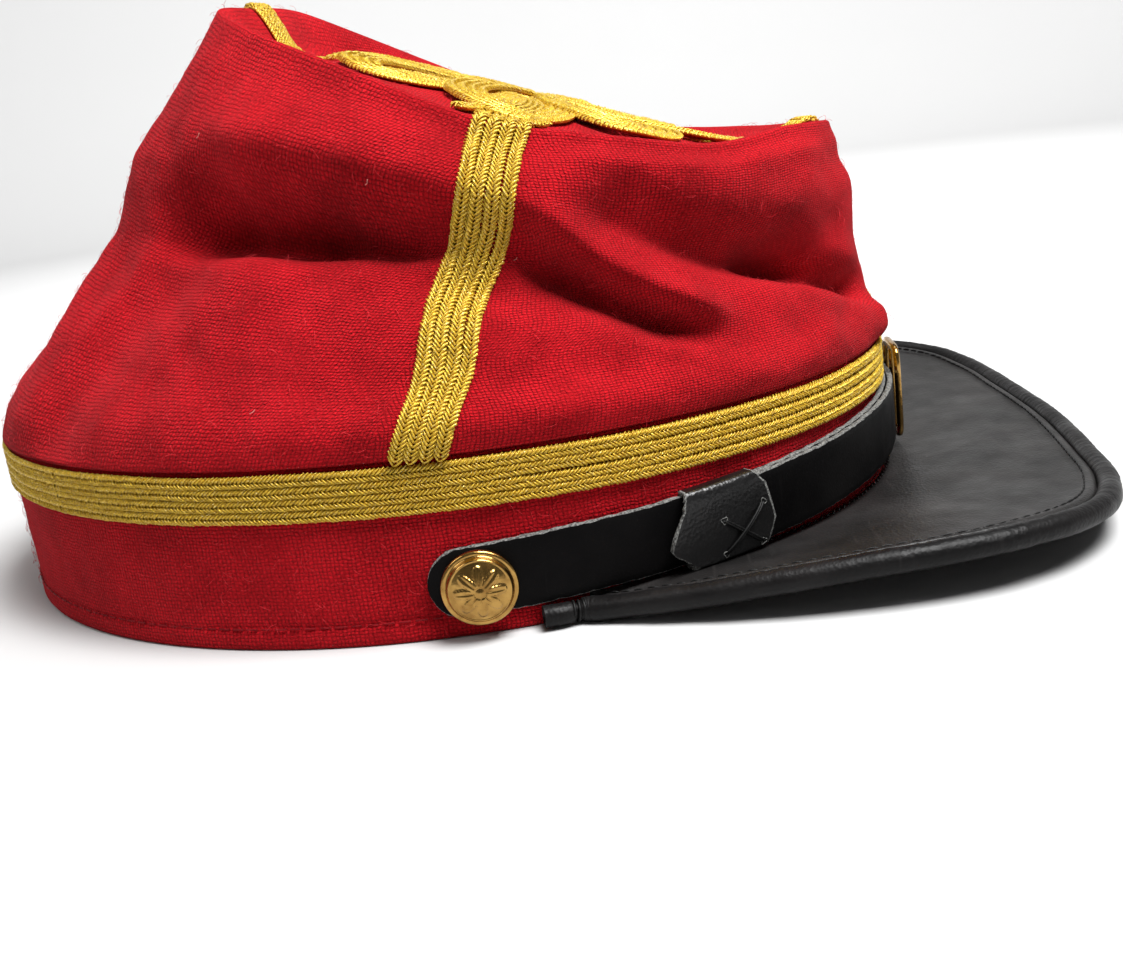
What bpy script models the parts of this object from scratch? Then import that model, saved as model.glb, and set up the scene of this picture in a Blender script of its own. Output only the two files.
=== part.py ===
"""Kepi cap: a soft wool crown, a braided wool band, a leather peak and a chin strap.

Units are metres, +Z is up, the peak points to -Y and the wearer's right side is -X. The cap rests on the
lower edge of its band, which lies in the plane Z = 0, and the origin is below the middle of the whole cap.
The pieces are first made round the band's middle, then all moved back together by BAND_SHIFT.
Angles round the cap are in degrees: 0 is the left side, 90 the back, 180 the right side, 270 the front.
"""

import math
from collections import namedtuple

import bmesh
import bpy
from mathutils import Vector
from mathutils.bvhtree import BVHTree

MM = 0.001
GAP = 0.3 * MM
BAND_SHIFT = 20.2 * MM
MIRROR_TURN = 540.0

# Band: an oval wall, closed all round.
BAND_HALF_LENGTH = 100.0 * MM
BAND_HALF_WIDTH = 87.2 * MM
BAND_HEIGHT = 34.2 * MM
BAND_RISE = 0.016
BAND_WALL = 2.6 * MM
BAND_SIDES = 52

# Cloth of the crown and its top.
CLOTH_WALL = 1.9 * MM
CROWN_LEVELS = (0.0, 0.05, 0.12, 0.22, 0.32, 0.42, 0.51, 0.60, 0.69, 0.78, 0.87, 0.95, 1.0)
SECTION_STEP = 30.0
LEVEL_STEP = 0.01
FOOT_EASE = 0.06
RIM_EASE = 0.08
SEAM_OUT = 0.9 * MM
BELLY_AT = 0.10
BELLY_WIDTH = 0.09
ROLL_WIDTH = 0.14
FOLD_ARC = 1.45
FOLD_WALL = 68.0
TIP_RINGS = (0.08, 0.38, 0.65, 0.86, 1.0)

# Soutache braid: flat strands laid side by side.
BRAID_THICK = 1.1 * MM
STRIPE_BOTTOM = 24.4 * MM
STRIPE_STRANDS = 4
STRIPE_PITCH = 2.25 * MM
STRIP_PITCH = 2.6 * MM
STRAND_SHARE = 0.84
STRAND_EDGE_SHARE = 0.65
STRAND_PROBES = (-0.5, 0.0, 0.5)
TOP_CLEARANCE = 0.5 * MM
RIM_CLEARANCE = 0.6 * MM
RIM_STEP = 3.1 * MM
STRIP_SHARES = (0.93, 0.86)
PROBE = 6.0 * MM

# Peak and its rolled edge.
PEAK_THICK = 2.2 * MM
PEAK_ROOT_HEIGHT = 3.8 * MM
PEAK_ROOT_FALL = 1.4 * MM
PEAK_CENTRE_Y = -60.0 * MM
PEAK_LAST_BEARING = 101.0
PEAK_ROOT_SPAN = 64.5
PEAK_CROWN = 0.8 * MM
PEAK_CROWN_SHARE = 0.55
PEAK_STEPS = 36
ROLL_RADIUS = 2.2 * MM
TAIL_HEIGHT = 2.35 * MM
TAIL_ANGLES = (195.0, 197.0, 199.5)

# Chin strap, keeper, buckle and buttons.
STRAP_WIDTH = 13.2 * MM
STRAP_THICK = 1.2 * MM
STRAP_END_REACH = 9.0 * MM
STRAP_END_TURNS = (8.0, 25.0, 45.0, 65.0, 90.0)
STRAP_STEP = 4.5
STRAP_RIGHT_LAST = 277.0
LAP_START = 279.0
LAP_END = 287.0
LAP_BEHIND_KEEPER = 1.0
KEEPER_ANGLE = 215.2
KEEPER_WALL = 0.8 * MM
KEEPER_LENGTH = 18.5 * MM
KEEPER_INNER_ROOM = 0.39 * MM
KEEPER_OUTER_ROOM = 0.69 * MM
BUCKLE_WIDTH = 17.0 * MM
BUCKLE_HEIGHT = 22.0 * MM
BUCKLE_BAR = 2.2 * MM
BUCKLE_THICK = 1.4 * MM
BUCKLE_Z = 17.2 * MM
SLOT_DEPTHS = 4
BUTTON_ANGLE = 189.5
BUTTON_Z = 10.6 * MM
BUTTON_SIDES = 20

# Crown sections, one for each 30 degrees: where the rim is, how far the wall bulges over the band
# (belly), falls in at mid height (waist) and rolls out under the rim (shoulder), and at which shares
# of its height. Millimetres.
CrownSection = namedtuple(
    "CrownSection", "angle rim_x rim_y rim_z belly waist waist_at shoulder shoulder_at"
)
CROWN_SECTIONS = (
    CrownSection(0, 66.0, -28.0, 88.5, 2.0, 4.0, 0.55, 2.0, 0.80),
    CrownSection(30, 58.0, 4.0, 105.5, 2.0, 3.0, 0.50, 2.5, 0.76),
    CrownSection(60, 33.0, 27.0, 118.0, 2.0, 1.5, 0.42, 4.0, 0.72),
    CrownSection(90, 0.0, 31.0, 118.5, 2.0, 1.5, 0.40, 5.0, 0.70),
    CrownSection(120, -31.0, 25.5, 114.5, 2.0, 2.5, 0.42, 5.5, 0.70),
    CrownSection(150, -57.0, 3.0, 101.5, 2.0, 3.5, 0.54, 3.5, 0.76),
    CrownSection(180, -66.5, -28.0, 85.5, 2.2, 5.0, 0.58, 3.0, 0.80),
    CrownSection(210, -61.0, -54.0, 78.5, 2.2, 2.0, 0.52, 3.5, 0.78),
    CrownSection(240, -37.0, -79.0, 77.5, 1.5, 1.0, 0.50, 3.5, 0.78),
    CrownSection(270, 0.0, -88.5, 78.0, 0.8, 0.0, 0.50, 3.5, 0.80),
    CrownSection(300, 37.0, -79.0, 77.5, 1.2, 1.0, 0.50, 3.0, 0.80),
    CrownSection(330, 60.0, -55.0, 80.5, 1.8, 2.0, 0.52, 2.5, 0.80),
)

# Folds of the crown wall. A fold's middle is at an angle and a share of the wall's height, and it
# climbs by rise for each millimetre that it runs towards the front. Length and width are half sizes.
# Millimetres.
Fold = namedtuple("Fold", "angle height rise length width depth")
CROWN_FOLDS = (
    Fold(160, 0.55, -0.25, 30.0, 5.5, -4.0),
    Fold(150, 0.74, -0.25, 26.0, 7.0, 2.0),
    Fold(204, 0.52, -0.70, 24.0, 5.5, -5.0),
    Fold(232, 0.55, -0.30, 20.0, 6.0, -4.0),
    Fold(222, 0.78, -0.10, 18.0, 6.0, 2.0),
    Fold(20, 0.58, -0.25, 30.0, 6.0, -3.5),
    Fold(330, 0.52, -0.50, 24.0, 6.0, -3.5),
    Fold(300, 0.55, -0.20, 16.0, 6.0, -2.5),
)

# The top's cloth: height of its middle, fall towards the front, and how it meets the rim.
TIP_CENTRE_Y = -30.0 * MM
TIP_CENTRE_HEIGHT = 92.0 * MM
TIP_SLOPE = 0.31
TIP_EDGE_POWER = 5

# Braid strips up the crown's wall and over its rim: the angle at the band, at mid height and at the
# rim, and the share of the top's radius where the strip ends.
Strip = namedtuple("Strip", "name foot middle rim tip_share")
BRAID_STRIPS = (
    Strip("right", 184.9, 182.4, 179.6, 0.84),
    Strip("left", -4.9, -2.4, 0.4, 0.84),
    Strip("front", 270.0, 270.0, 270.0, 0.74),
    Strip("back", 90.0, 90.0, 90.0, 0.74),
)

# Outer edge of the peak: bearing from straight ahead, distance from the peak's centre and height.
# Millimetres.
PeakEdge = namedtuple("PeakEdge", "bearing reach height")
PEAK_EDGE = (
    PeakEdge(0.0, 79.6, 5.3),
    PeakEdge(12.0, 80.8, 5.4),
    PeakEdge(24.0, 85.0, 5.6),
    PeakEdge(36.0, 92.7, 6.4),
    PeakEdge(48.0, 100.2, 8.0),
    PeakEdge(60.0, 100.9, 9.2),
    PeakEdge(74.0, 95.6, 8.4),
    PeakEdge(87.0, 91.2, 6.2),
    PeakEdge(99.0, 88.6, 3.6),
    PeakEdge(105.0, 88.2, 2.5),
)

# Middle line of the chin strap: angle round the band, height, and how far it stands off the band.
# Millimetres.
StrapPoint = namedtuple("StrapPoint", "angle height lift")
STRAP_LINE = (
    StrapPoint(180.0, 10.6, 0.4),
    StrapPoint(189.0, 10.8, 0.4),
    StrapPoint(198.0, 11.5, 0.5),
    StrapPoint(207.0, 12.3, 1.4),
    StrapPoint(216.0, 13.1, 1.8),
    StrapPoint(225.0, 13.8, 1.6),
    StrapPoint(240.0, 14.6, 0.8),
    StrapPoint(255.0, 15.3, 0.4),
    StrapPoint(270.0, 15.4, 0.4),
)

# Side view of a button: radius and height above its back. Millimetres.
ProfilePoint = namedtuple("ProfilePoint", "radius height")
BUTTON_PROFILE = (
    ProfilePoint(6.2, 0.0),
    ProfilePoint(7.0, 0.5),
    ProfilePoint(7.0, 1.3),
    ProfilePoint(6.4, 1.8),
    ProfilePoint(5.6, 2.4),
    ProfilePoint(4.0, 3.4),
    ProfilePoint(2.0, 4.0),
    ProfilePoint(0.4, 4.2),
)

# Four-lobed knot on the top: reach of its lobes and necks in shares of the top's radius, and how
# quickly a lobe narrows towards its necks.
KNOT_RIBBON = 4.6 * MM
KNOT_SIDE = 0.76
KNOT_LENGTH = 0.62
KNOT_NECK = 0.24
KNOT_POWER = 2
KNOT_LOBES = 4
KNOT_STEPS = 64

Finish = namedtuple("Finish", "name colour roughness metallic")
WOOL = Finish("red wool", (0.42, 0.012, 0.018), 0.95, 0.0)
GOLD_BRAID = Finish("gold braid", (0.55, 0.36, 0.06), 0.45, 0.6)
LEATHER = Finish("black leather", (0.012, 0.011, 0.012), 0.5, 0.0)
BRASS = Finish("polished brass", (0.75, 0.52, 0.20), 0.25, 1.0)


def remove_old_objects():
    for old in list(bpy.data.objects):
        bpy.data.objects.remove(old)


def principled(finish):
    known = bpy.data.materials.get(finish.name)
    if known:
        return known
    material = bpy.data.materials.new(finish.name)
    material.use_nodes = True
    shader = material.node_tree.nodes["Principled BSDF"]
    shader.inputs["Base Color"].default_value = (*finish.colour, 1.0)
    shader.inputs["Roughness"].default_value = finish.roughness
    shader.inputs["Metallic"].default_value = finish.metallic
    return material


def skin(name, sections, finish, closed=False):
    """Make a solid from equal loops of points, bridged one to the next, and capped unless closed."""
    shape = bmesh.new()
    loops = [[shape.verts.new(point) for point in section] for section in sections]
    pairs = list(zip(loops, loops[1:]))
    if closed:
        pairs.append((loops[-1], loops[0]))
    else:
        shape.faces.new(loops[0])
        shape.faces.new(loops[-1])
    for first, second in pairs:
        for i in range(len(first)):
            j = (i + 1) % len(first)
            shape.faces.new((first[i], first[j], second[j], second[i]))
    bmesh.ops.triangulate(shape, faces=shape.faces, ngon_method="EAR_CLIP")
    bmesh.ops.recalc_face_normals(shape, faces=shape.faces)
    mesh = bpy.data.meshes.new(name)
    shape.to_mesh(mesh)
    shape.free()
    mesh.materials.append(principled(finish))
    made = bpy.data.objects.new(name, mesh)
    bpy.context.collection.objects.link(made)
    return made


def smooth_steps(values, place, wrap=False):
    """Read a row of equally spaced values at a fractional place, along a smooth curve through them."""
    count = len(values)
    first = math.floor(place)
    share = place - first

    def value(i):
        return values[i % count] if wrap else values[min(max(i, 0), count - 1)]

    a, b, c, d = (value(first + k) for k in (-1, 0, 1, 2))
    curve = (2 * a - 5 * b + 4 * c - d) * share ** 2 + (3 * b - a - 3 * c + d) * share ** 3
    return b + 0.5 * ((c - a) * share + curve)


def table_value(rows, key, column, at):
    """Read a column of a table at a key between two rows, along a smooth curve."""
    keys = [getattr(row, key) for row in rows]
    values = [getattr(row, column) for row in rows]
    if at <= keys[0]:
        return values[0]
    for i in range(len(keys) - 1):
        if at <= keys[i + 1]:
            return smooth_steps(values, i + (at - keys[i]) / (keys[i + 1] - keys[i]))
    return values[-1]


def bell(distance, width):
    return math.exp(-((distance / width) ** 2))


def oval(angle, out, height):
    """A point on the band's oval, moved outwards by a distance, at a height."""
    turn = math.radians(angle)
    point = Vector((BAND_HALF_WIDTH * math.cos(turn), BAND_HALF_LENGTH * math.sin(turn), height))
    return point + oval_out(angle) * out


def oval_out(angle):
    turn = math.radians(angle)
    spoke = Vector((math.cos(turn) / BAND_HALF_WIDTH, math.sin(turn) / BAND_HALF_LENGTH, 0))
    return spoke.normalized()


def oval_step(angle):
    """Distance along the band for each degree at an angle."""
    turn = math.radians(angle)
    across = Vector((BAND_HALF_WIDTH * math.sin(turn), BAND_HALF_LENGTH * math.cos(turn), 0))
    return across.length * math.radians(1)


def tilted(height, y):
    """The band's top edge and its stripe climb a little towards the back."""
    return height + BAND_RISE * y


def section_value(column, angle):
    values = [getattr(row, column) for row in CROWN_SECTIONS]
    return smooth_steps(values, angle / SECTION_STEP, wrap=True)


def rim_point(angle):
    return Vector([section_value(column, angle) * MM for column in ("rim_x", "rim_y", "rim_z")])


def fold_offset(angle, level):
    """How far the folds push the wall out at an angle and a share of its height."""
    total = 0.0
    for fold in CROWN_FOLDS:
        away = (angle - fold.angle + 180) % 360 - 180
        forward = 1 if math.cos(math.radians(fold.angle)) < 0 else -1
        run = away * FOLD_ARC * forward
        climb = (level - fold.height) * FOLD_WALL
        slant = math.hypot(1.0, fold.rise)
        along = (run + climb * fold.rise) / slant
        across = (climb - run * fold.rise) / slant
        total += fold.depth * bell(along, fold.length) * bell(across, fold.width)
    return total


def wall_point(angle, level):
    """A point on the crown's outer face: level 0 is at the band and level 1 at the rim."""
    foot = oval(angle, SEAM_OUT, 0.0)
    foot.z = tilted(BAND_HEIGHT, foot.y) + GAP
    rim = rim_point(angle)
    out = oval_out(angle)
    rise = rim.z - foot.z
    run = (foot - rim).dot(out)
    face = (out * rise + Vector((0, 0, run))).normalized()
    push = section_value("belly", angle) * bell(level - BELLY_AT, BELLY_WIDTH)
    shoulder_at = section_value("shoulder_at", angle)
    waist_at = section_value("waist_at", angle)
    push += section_value("shoulder", angle) * bell(level - shoulder_at, ROLL_WIDTH)
    push -= section_value("waist", angle) * bell(level - waist_at, ROLL_WIDTH)
    push += fold_offset(angle, level)
    ends = min(1.0, level / FOOT_EASE) * min(1.0, (1.0 - level) / RIM_EASE)
    return foot.lerp(rim, level) + face * push * ends * MM


def wall_normal(angle, level):
    low = max(0.0, level - LEVEL_STEP)
    high = min(1.0, level + LEVEL_STEP)
    round_it = wall_point(angle + 1, level) - wall_point(angle - 1, level)
    up_it = wall_point(angle, high) - wall_point(angle, low)
    return round_it.cross(up_it).normalized()


def tip_point(angle, share):
    """A point on the upper face of the crown's top, from its middle (share 0) to its edge (share 1)."""
    rim = rim_point(angle)
    middle = Vector((0, TIP_CENTRE_Y, 0))
    flat = Vector((rim.x, rim.y, 0))
    inset = CLOTH_WALL + GAP
    edge = flat - (flat - middle).normalized() * inset
    point = middle.lerp(edge, share)
    lift = rim.z - tip_plane(rim.y)
    point.z = tip_plane(point.y) + lift * share ** TIP_EDGE_POWER
    return point


def tip_plane(y):
    return TIP_CENTRE_HEIGHT + TIP_SLOPE * (y - TIP_CENTRE_Y)


def round_angles(count):
    return [360.0 * i / count for i in range(count)]


def make_band():
    sections = []
    for angle in round_angles(BAND_SIDES):
        outer = oval(angle, 0, 0)
        inner = oval(angle, -BAND_WALL, 0)
        top = tilted(BAND_HEIGHT, outer.y)
        heights = (0.0, top / 2, top)
        rising = [Vector((outer.x, outer.y, z)) for z in heights]
        falling = [Vector((inner.x, inner.y, z)) for z in reversed(heights)]
        sections.append(rising + falling)
    return skin("band", sections, WOOL, closed=True)


def make_crown_side():
    sections = []
    for angle in round_angles(BAND_SIDES):
        outer = [wall_point(angle, level) for level in CROWN_LEVELS]
        inner = []
        for level, point in zip(CROWN_LEVELS, outer):
            inward = -wall_normal(angle, level)
            if level in (0.0, 1.0):
                inward = -oval_out(angle)
            inner.append(point + inward * CLOTH_WALL)
        sections.append(outer + inner[::-1])
    return skin("crown_side", sections, WOOL, closed=True)


def make_crown_top():
    drop = Vector((0, 0, CLOTH_WALL))
    upper = [[tip_point(angle, share) for angle in round_angles(BAND_SIDES)] for share in TIP_RINGS]
    lower = [[point - drop for point in ring] for ring in reversed(upper)]
    return skin("crown_top", upper + lower, WOOL)


def strand_section(centre, side, normal, width):
    """Five corners of a braid strand: a flat back, two low edges and a rounded top."""
    half = side * (width / 2)
    low = normal * (BRAID_THICK * STRAND_EDGE_SHARE)
    ridge = centre + normal * BRAID_THICK
    return [centre - half, centre - half + low, ridge, centre + half + low, centre + half]


def make_stripe():
    width = STRIPE_PITCH * STRAND_SHARE
    for strand in range(STRIPE_STRANDS):
        base = STRIPE_BOTTOM + STRIPE_PITCH * (strand + 0.5)
        sections = []
        for angle in round_angles(BAND_SIDES):
            centre = oval(angle, GAP, 0)
            centre.z = tilted(base, centre.y)
            sections.append(strand_section(centre, Vector((0, 0, 1)), oval_out(angle), width))
        skin(f"band_braid_{strand + 1}", sections, GOLD_BRAID, closed=True)


def surface_tree(made):
    points = [vertex.co.copy() for vertex in made.data.vertices]
    return BVHTree.FromPolygons(points, [tuple(face.vertices) for face in made.data.polygons])


def lifted(point, normal, side, tree, gap):
    """Move a point along a normal until a strand there clears the surface below it."""
    highest = 0.0
    for offset in STRAND_PROBES:
        start = point + side * (STRIP_PITCH * offset) + normal * PROBE
        hit = tree.ray_cast(start, -normal)[0]
        if hit:
            highest = max(highest, (hit - point).dot(normal))
    return point + normal * (highest + gap)


def strip_route(strip, aside, wall_tree, tip_tree):
    """Middle points and normals of one strand of a strip, up the wall, over the rim and onto the top."""
    up = Vector((0, 0, 1))
    route = []
    for level in CROWN_LEVELS[1:-1]:
        angle = smooth_steps((strip.foot, strip.middle, strip.rim), level * 2)
        normal = wall_normal(angle, level)
        side = (wall_point(angle + 1, level) - wall_point(angle - 1, level)).normalized()
        point = wall_point(angle, level) + side * aside
        route.append((lifted(point, normal, side, wall_tree, GAP), normal))
    out = oval_out(strip.rim)
    side = (rim_point(strip.rim + 1) - rim_point(strip.rim - 1)).normalized()
    corner = rim_point(strip.rim) + side * aside
    route.append((corner + out * GAP + up * RIM_CLEARANCE, (out + up * 2).normalized()))
    inner = corner - out * RIM_STEP
    route.append((lifted(inner, up, side, tip_tree, RIM_CLEARANCE), up))
    for share in (*STRIP_SHARES, strip.tip_share):
        point = tip_point(strip.rim, share) + side * aside
        route.append((lifted(point, up, side, tip_tree, TOP_CLEARANCE), up))
    return route


def make_strips(wall, tip):
    wall_tree = surface_tree(wall)
    tip_tree = surface_tree(tip)
    width = STRIP_PITCH * STRAND_SHARE
    for strip in BRAID_STRIPS:
        for strand in range(STRIPE_STRANDS):
            aside = STRIP_PITCH * (strand - (STRIPE_STRANDS - 1) / 2)
            route = strip_route(strip, aside, wall_tree, tip_tree)
            sections = []
            for i, (point, normal) in enumerate(route):
                ahead = route[min(i + 1, len(route) - 1)][0] - route[max(i - 1, 0)][0]
                side = ahead.cross(normal).normalized()
                sections.append(strand_section(point, side, normal, width))
            skin(f"braid_{strip.name}_{strand + 1}", sections, GOLD_BRAID)


def knot_share(turn):
    """The knot's middle line at an angle, as a share of the top's radius."""
    sideways = abs(math.cos(math.radians(turn))) > math.sqrt(0.5)
    reach = KNOT_SIDE if sideways else KNOT_LENGTH
    wave = 0.5 + 0.5 * math.cos(math.radians(KNOT_LOBES * turn))
    return KNOT_NECK + (reach - KNOT_NECK) * wave ** KNOT_POWER


def make_knot(tip):
    """A four-lobed ribbon of braid that lies on the top."""
    tree = surface_tree(tip)
    up = Vector((0, 0, 1))
    middle = [tip_point(turn, knot_share(turn)) for turn in round_angles(KNOT_STEPS)]
    sections = []
    for i, point in enumerate(middle):
        ahead = middle[(i + 1) % KNOT_STEPS] - middle[i - 1]
        side = ahead.cross(up).normalized() * (KNOT_RIBBON / 2)
        edge = []
        for offset in (-side, side):
            hit = tree.ray_cast(point + offset + up * PROBE, -up)[0]
            edge.append(hit + up * TOP_CLEARANCE)
        sections.append([edge[0], edge[0] + up * BRAID_THICK, edge[1] + up * BRAID_THICK, edge[1]])
    return skin("top_knot", sections, GOLD_BRAID, closed=True)


def roll_middle(bearing):
    """Middle line of the peak's rolled edge."""
    away = abs(bearing)
    reach = table_value(PEAK_EDGE, "bearing", "reach", away) * MM
    height = table_value(PEAK_EDGE, "bearing", "height", away) * MM
    turn = math.radians(bearing)
    return Vector((reach * math.sin(turn), PEAK_CENTRE_Y - reach * math.cos(turn), height))


def make_peak():
    span = PEAK_LAST_BEARING
    sections = []
    for step in range(PEAK_STEPS + 1):
        share = 2.0 * step / PEAK_STEPS - 1.0
        bearing = span * share
        root_height = PEAK_ROOT_HEIGHT - PEAK_ROOT_FALL * share ** 2
        root = oval(270.0 + PEAK_ROOT_SPAN * share, GAP, root_height)
        edge = roll_middle(bearing)
        ahead = roll_middle(bearing + 1) - roll_middle(bearing - 1)
        inward = Vector((-ahead.y, ahead.x, 0)).normalized()
        edge += inward * (ROLL_RADIUS + GAP)
        edge.z += PEAK_THICK / 2
        bulge = Vector((0, 0, PEAK_CROWN * (1 - 2 * share ** 2)))
        top = [root, root.lerp(edge, PEAK_CROWN_SHARE) + bulge, edge]
        under = [point - Vector((0, 0, PEAK_THICK)) for point in reversed(top)]
        sections.append(top + under)
    return skin("peak", sections, LEATHER)


def make_roll():
    """The rolled edge, with a tail along each side of the band."""
    tail = [oval(angle, ROLL_RADIUS + GAP, TAIL_HEIGHT) for angle in TAIL_ANGLES]
    span = PEAK_EDGE[-1].bearing
    front = [roll_middle(span * (2.0 * step / PEAK_STEPS - 1.0)) for step in range(PEAK_STEPS + 1)]
    other = [Vector((-point.x, point.y, point.z)) for point in reversed(tail)]
    route = tail + front + other
    curve = bpy.data.curves.new("peak_roll", "CURVE")
    curve.dimensions = "3D"
    curve.bevel_depth = ROLL_RADIUS
    curve.bevel_resolution = 1
    curve.use_fill_caps = True
    line = curve.splines.new("POLY")
    line.points.add(len(route) - 1)
    for dot, point in zip(line.points, route):
        dot.co = (*point, 1.0)
    curve.materials.append(principled(LEATHER))
    made = bpy.data.objects.new("peak_roll", curve)
    bpy.context.collection.objects.link(made)
    return made


def strap_value(column, angle):
    folded = angle if angle <= 270 else MIRROR_TURN - angle
    return table_value(STRAP_LINE, "angle", column, folded) * MM


def strap_section(angle, half, layer):
    """A rectangle across the strap. Layer 0 lies on the band and layer 1 on layer 0."""
    inner = strap_value("lift", angle) + layer * (STRAP_THICK + GAP)
    outer = inner + STRAP_THICK
    middle = strap_value("height", angle)
    low = middle - half
    high = middle + half
    corners = ((inner, low), (outer, low), (outer, high), (inner, high))
    return [oval(angle, out, height) for out, height in corners]


def make_strap(name, square_end, round_end, layer_at):
    """One piece of the strap, from its square end to its round end at the button."""
    step = oval_step(round_end)
    radius = STRAP_WIDTH / 2
    sense = 1 if square_end > round_end else -1
    bends = [radius * (1 - math.cos(math.radians(turn))) for turn in STRAP_END_TURNS]
    angles = [round_end + sense * bend / step for bend in bends]
    halves = [radius * math.sin(math.radians(turn)) for turn in STRAP_END_TURNS]
    start = angles[-1]
    count = round(abs(square_end - start) / STRAP_STEP)
    for i in range(1, count + 1):
        angles.append(start + (square_end - start) * i / count)
        halves.append(radius)
    sections = [strap_section(angle, half, layer_at(angle)) for angle, half in zip(angles, halves)]
    return skin(name, sections, LEATHER)


def lap_layer(angle):
    """The left piece lies on the band at the left and on the right piece from the buckle to the keeper."""
    share = min(1.0, max(0.0, (LAP_END - angle) / (LAP_END - LAP_START)))
    return share * share * (3 - 2 * share)


def make_chin_strap():
    """Two pieces that overlap from the keeper to the buckle, each with its round end at a button."""
    right_end = BUTTON_ANGLE - STRAP_END_REACH / oval_step(BUTTON_ANGLE)
    make_strap("chin_strap_right", STRAP_RIGHT_LAST, right_end, lambda angle: 0)
    left_end = MIRROR_TURN - right_end
    make_strap("chin_strap_left", KEEPER_ANGLE - LAP_BEHIND_KEEPER, left_end, lap_layer)


def make_keeper():
    """A leather loop round both layers of the strap."""
    half_turn = KEEPER_LENGTH / 2 / oval_step(KEEPER_ANGLE)
    inner_wall = strap_value("lift", KEEPER_ANGLE) - KEEPER_INNER_ROOM
    outer_wall = strap_value("lift", KEEPER_ANGLE) + 2 * STRAP_THICK + KEEPER_OUTER_ROOM
    half_width = STRAP_WIDTH / 2 + GAP
    corners = ((-1, -1), (1, -1), (1, 1), (-1, 1))
    loops = []
    for out_side, up_side in corners:
        inside = []
        outside = []
        for share in (-1.0, 0.0, 1.0):
            angle = KEEPER_ANGLE + half_turn * share
            middle = strap_value("height", angle)
            wall = outer_wall if out_side > 0 else inner_wall
            inside.append(oval(angle, wall, middle + up_side * half_width))
            reach = half_width + KEEPER_WALL
            outside.append(oval(angle, wall + out_side * KEEPER_WALL, middle + up_side * reach))
        loops.append(outside + inside[::-1])
    return skin("strap_keeper", loops, LEATHER, closed=True)


def make_buckle():
    """A flat brass frame with a middle bar, in front of the strap."""
    lift = strap_value("lift", 270.0) + 2 * STRAP_THICK + 2 * GAP
    place = Vector((0, -(BAND_HALF_LENGTH + lift + BUCKLE_THICK / 2), BUCKLE_Z))
    frame = make_block("strap_buckle", place, (BUCKLE_WIDTH, BUCKLE_THICK, BUCKLE_HEIGHT))
    slot_width = (BUCKLE_WIDTH - 3 * BUCKLE_BAR) / 2
    slot_size = (slot_width, SLOT_DEPTHS * BUCKLE_THICK, BUCKLE_HEIGHT - 2 * BUCKLE_BAR)
    for side in (-1, 1):
        aside = Vector((side * (BUCKLE_BAR + slot_width) / 2, 0, 0))
        cutter = make_block(f"buckle_slot_{side}", place + aside, slot_size)
        hide_tool(cutter)
        cut = frame.modifiers.new("slot", "BOOLEAN")
        cut.operation = "DIFFERENCE"
        cut.object = cutter
    frame.data.materials.append(principled(BRASS))
    return frame


def make_block(name, place, size):
    bpy.ops.mesh.primitive_cube_add(size=1.0, location=place)
    block = bpy.context.object
    block.name = name
    for vertex in block.data.vertices:
        vertex.co = Vector([share * length for share, length in zip(vertex.co, size)])
    return block


def hide_tool(tool):
    tool.hide_render = True
    tool.display_type = "WIRE"


def make_button(name, angle):
    """A domed button, turned about the band's normal."""
    out = oval_out(angle)
    lift = strap_value("lift", angle) + STRAP_THICK + GAP
    base = oval(angle, lift, BUTTON_Z)
    side = out.cross(Vector((0, 0, 1)))
    sections = []
    for row in BUTTON_PROFILE:
        ring = []
        for turn in round_angles(BUTTON_SIDES):
            around = math.radians(turn)
            spoke = side * math.cos(around) + Vector((0, 0, 1)) * math.sin(around)
            ring.append(base + out * row.height * MM + spoke * row.radius * MM)
        sections.append(ring)
    return skin(name, sections, BRASS)


def main():
    remove_old_objects()
    make_band()
    make_stripe()
    wall = make_crown_side()
    tip = make_crown_top()
    make_strips(wall, tip)
    make_knot(tip)
    make_peak()
    make_roll()
    make_chin_strap()
    make_keeper()
    make_buckle()
    make_button("button_right", BUTTON_ANGLE)
    make_button("button_left", MIRROR_TURN - BUTTON_ANGLE)
    for made in bpy.data.objects:
        made.location.y += BAND_SHIFT


main()
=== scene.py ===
"""Kepi cap: the finished look of every piece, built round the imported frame.

The cap's lengths are in millimetres, measured round the middle of the band, and become metres in the frame when a
mesh is made. The finishes and the studio are in metres. The peak points to -Y, up is +Z and the wearer's right side
is -X. Angles round the cap are in degrees: 0 is the left side, 90 the back, 180 the right side and 270 the front.
"""

import itertools
import logging
import math
from dataclasses import dataclass, field
from enum import Enum
from functools import reduce
from typing import Any, Callable, Sequence

import bmesh
import bpy
import numpy as np
from mathutils import Matrix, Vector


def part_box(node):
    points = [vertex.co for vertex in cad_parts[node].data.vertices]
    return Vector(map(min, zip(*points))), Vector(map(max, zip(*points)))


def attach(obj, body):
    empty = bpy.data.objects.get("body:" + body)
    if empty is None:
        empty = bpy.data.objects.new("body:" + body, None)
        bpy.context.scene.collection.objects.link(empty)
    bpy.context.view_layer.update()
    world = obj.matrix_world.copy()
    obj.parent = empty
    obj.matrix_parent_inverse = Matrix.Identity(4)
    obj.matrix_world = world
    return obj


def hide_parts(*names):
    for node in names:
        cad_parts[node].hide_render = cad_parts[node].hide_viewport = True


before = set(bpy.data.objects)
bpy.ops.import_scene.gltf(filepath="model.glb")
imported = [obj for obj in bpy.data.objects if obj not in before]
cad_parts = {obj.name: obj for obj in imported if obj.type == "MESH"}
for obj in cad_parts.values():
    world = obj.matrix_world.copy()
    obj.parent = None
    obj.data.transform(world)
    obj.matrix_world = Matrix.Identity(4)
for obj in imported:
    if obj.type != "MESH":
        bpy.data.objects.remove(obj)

Array = np.ndarray
Colour = tuple[float, float, float]
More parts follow.
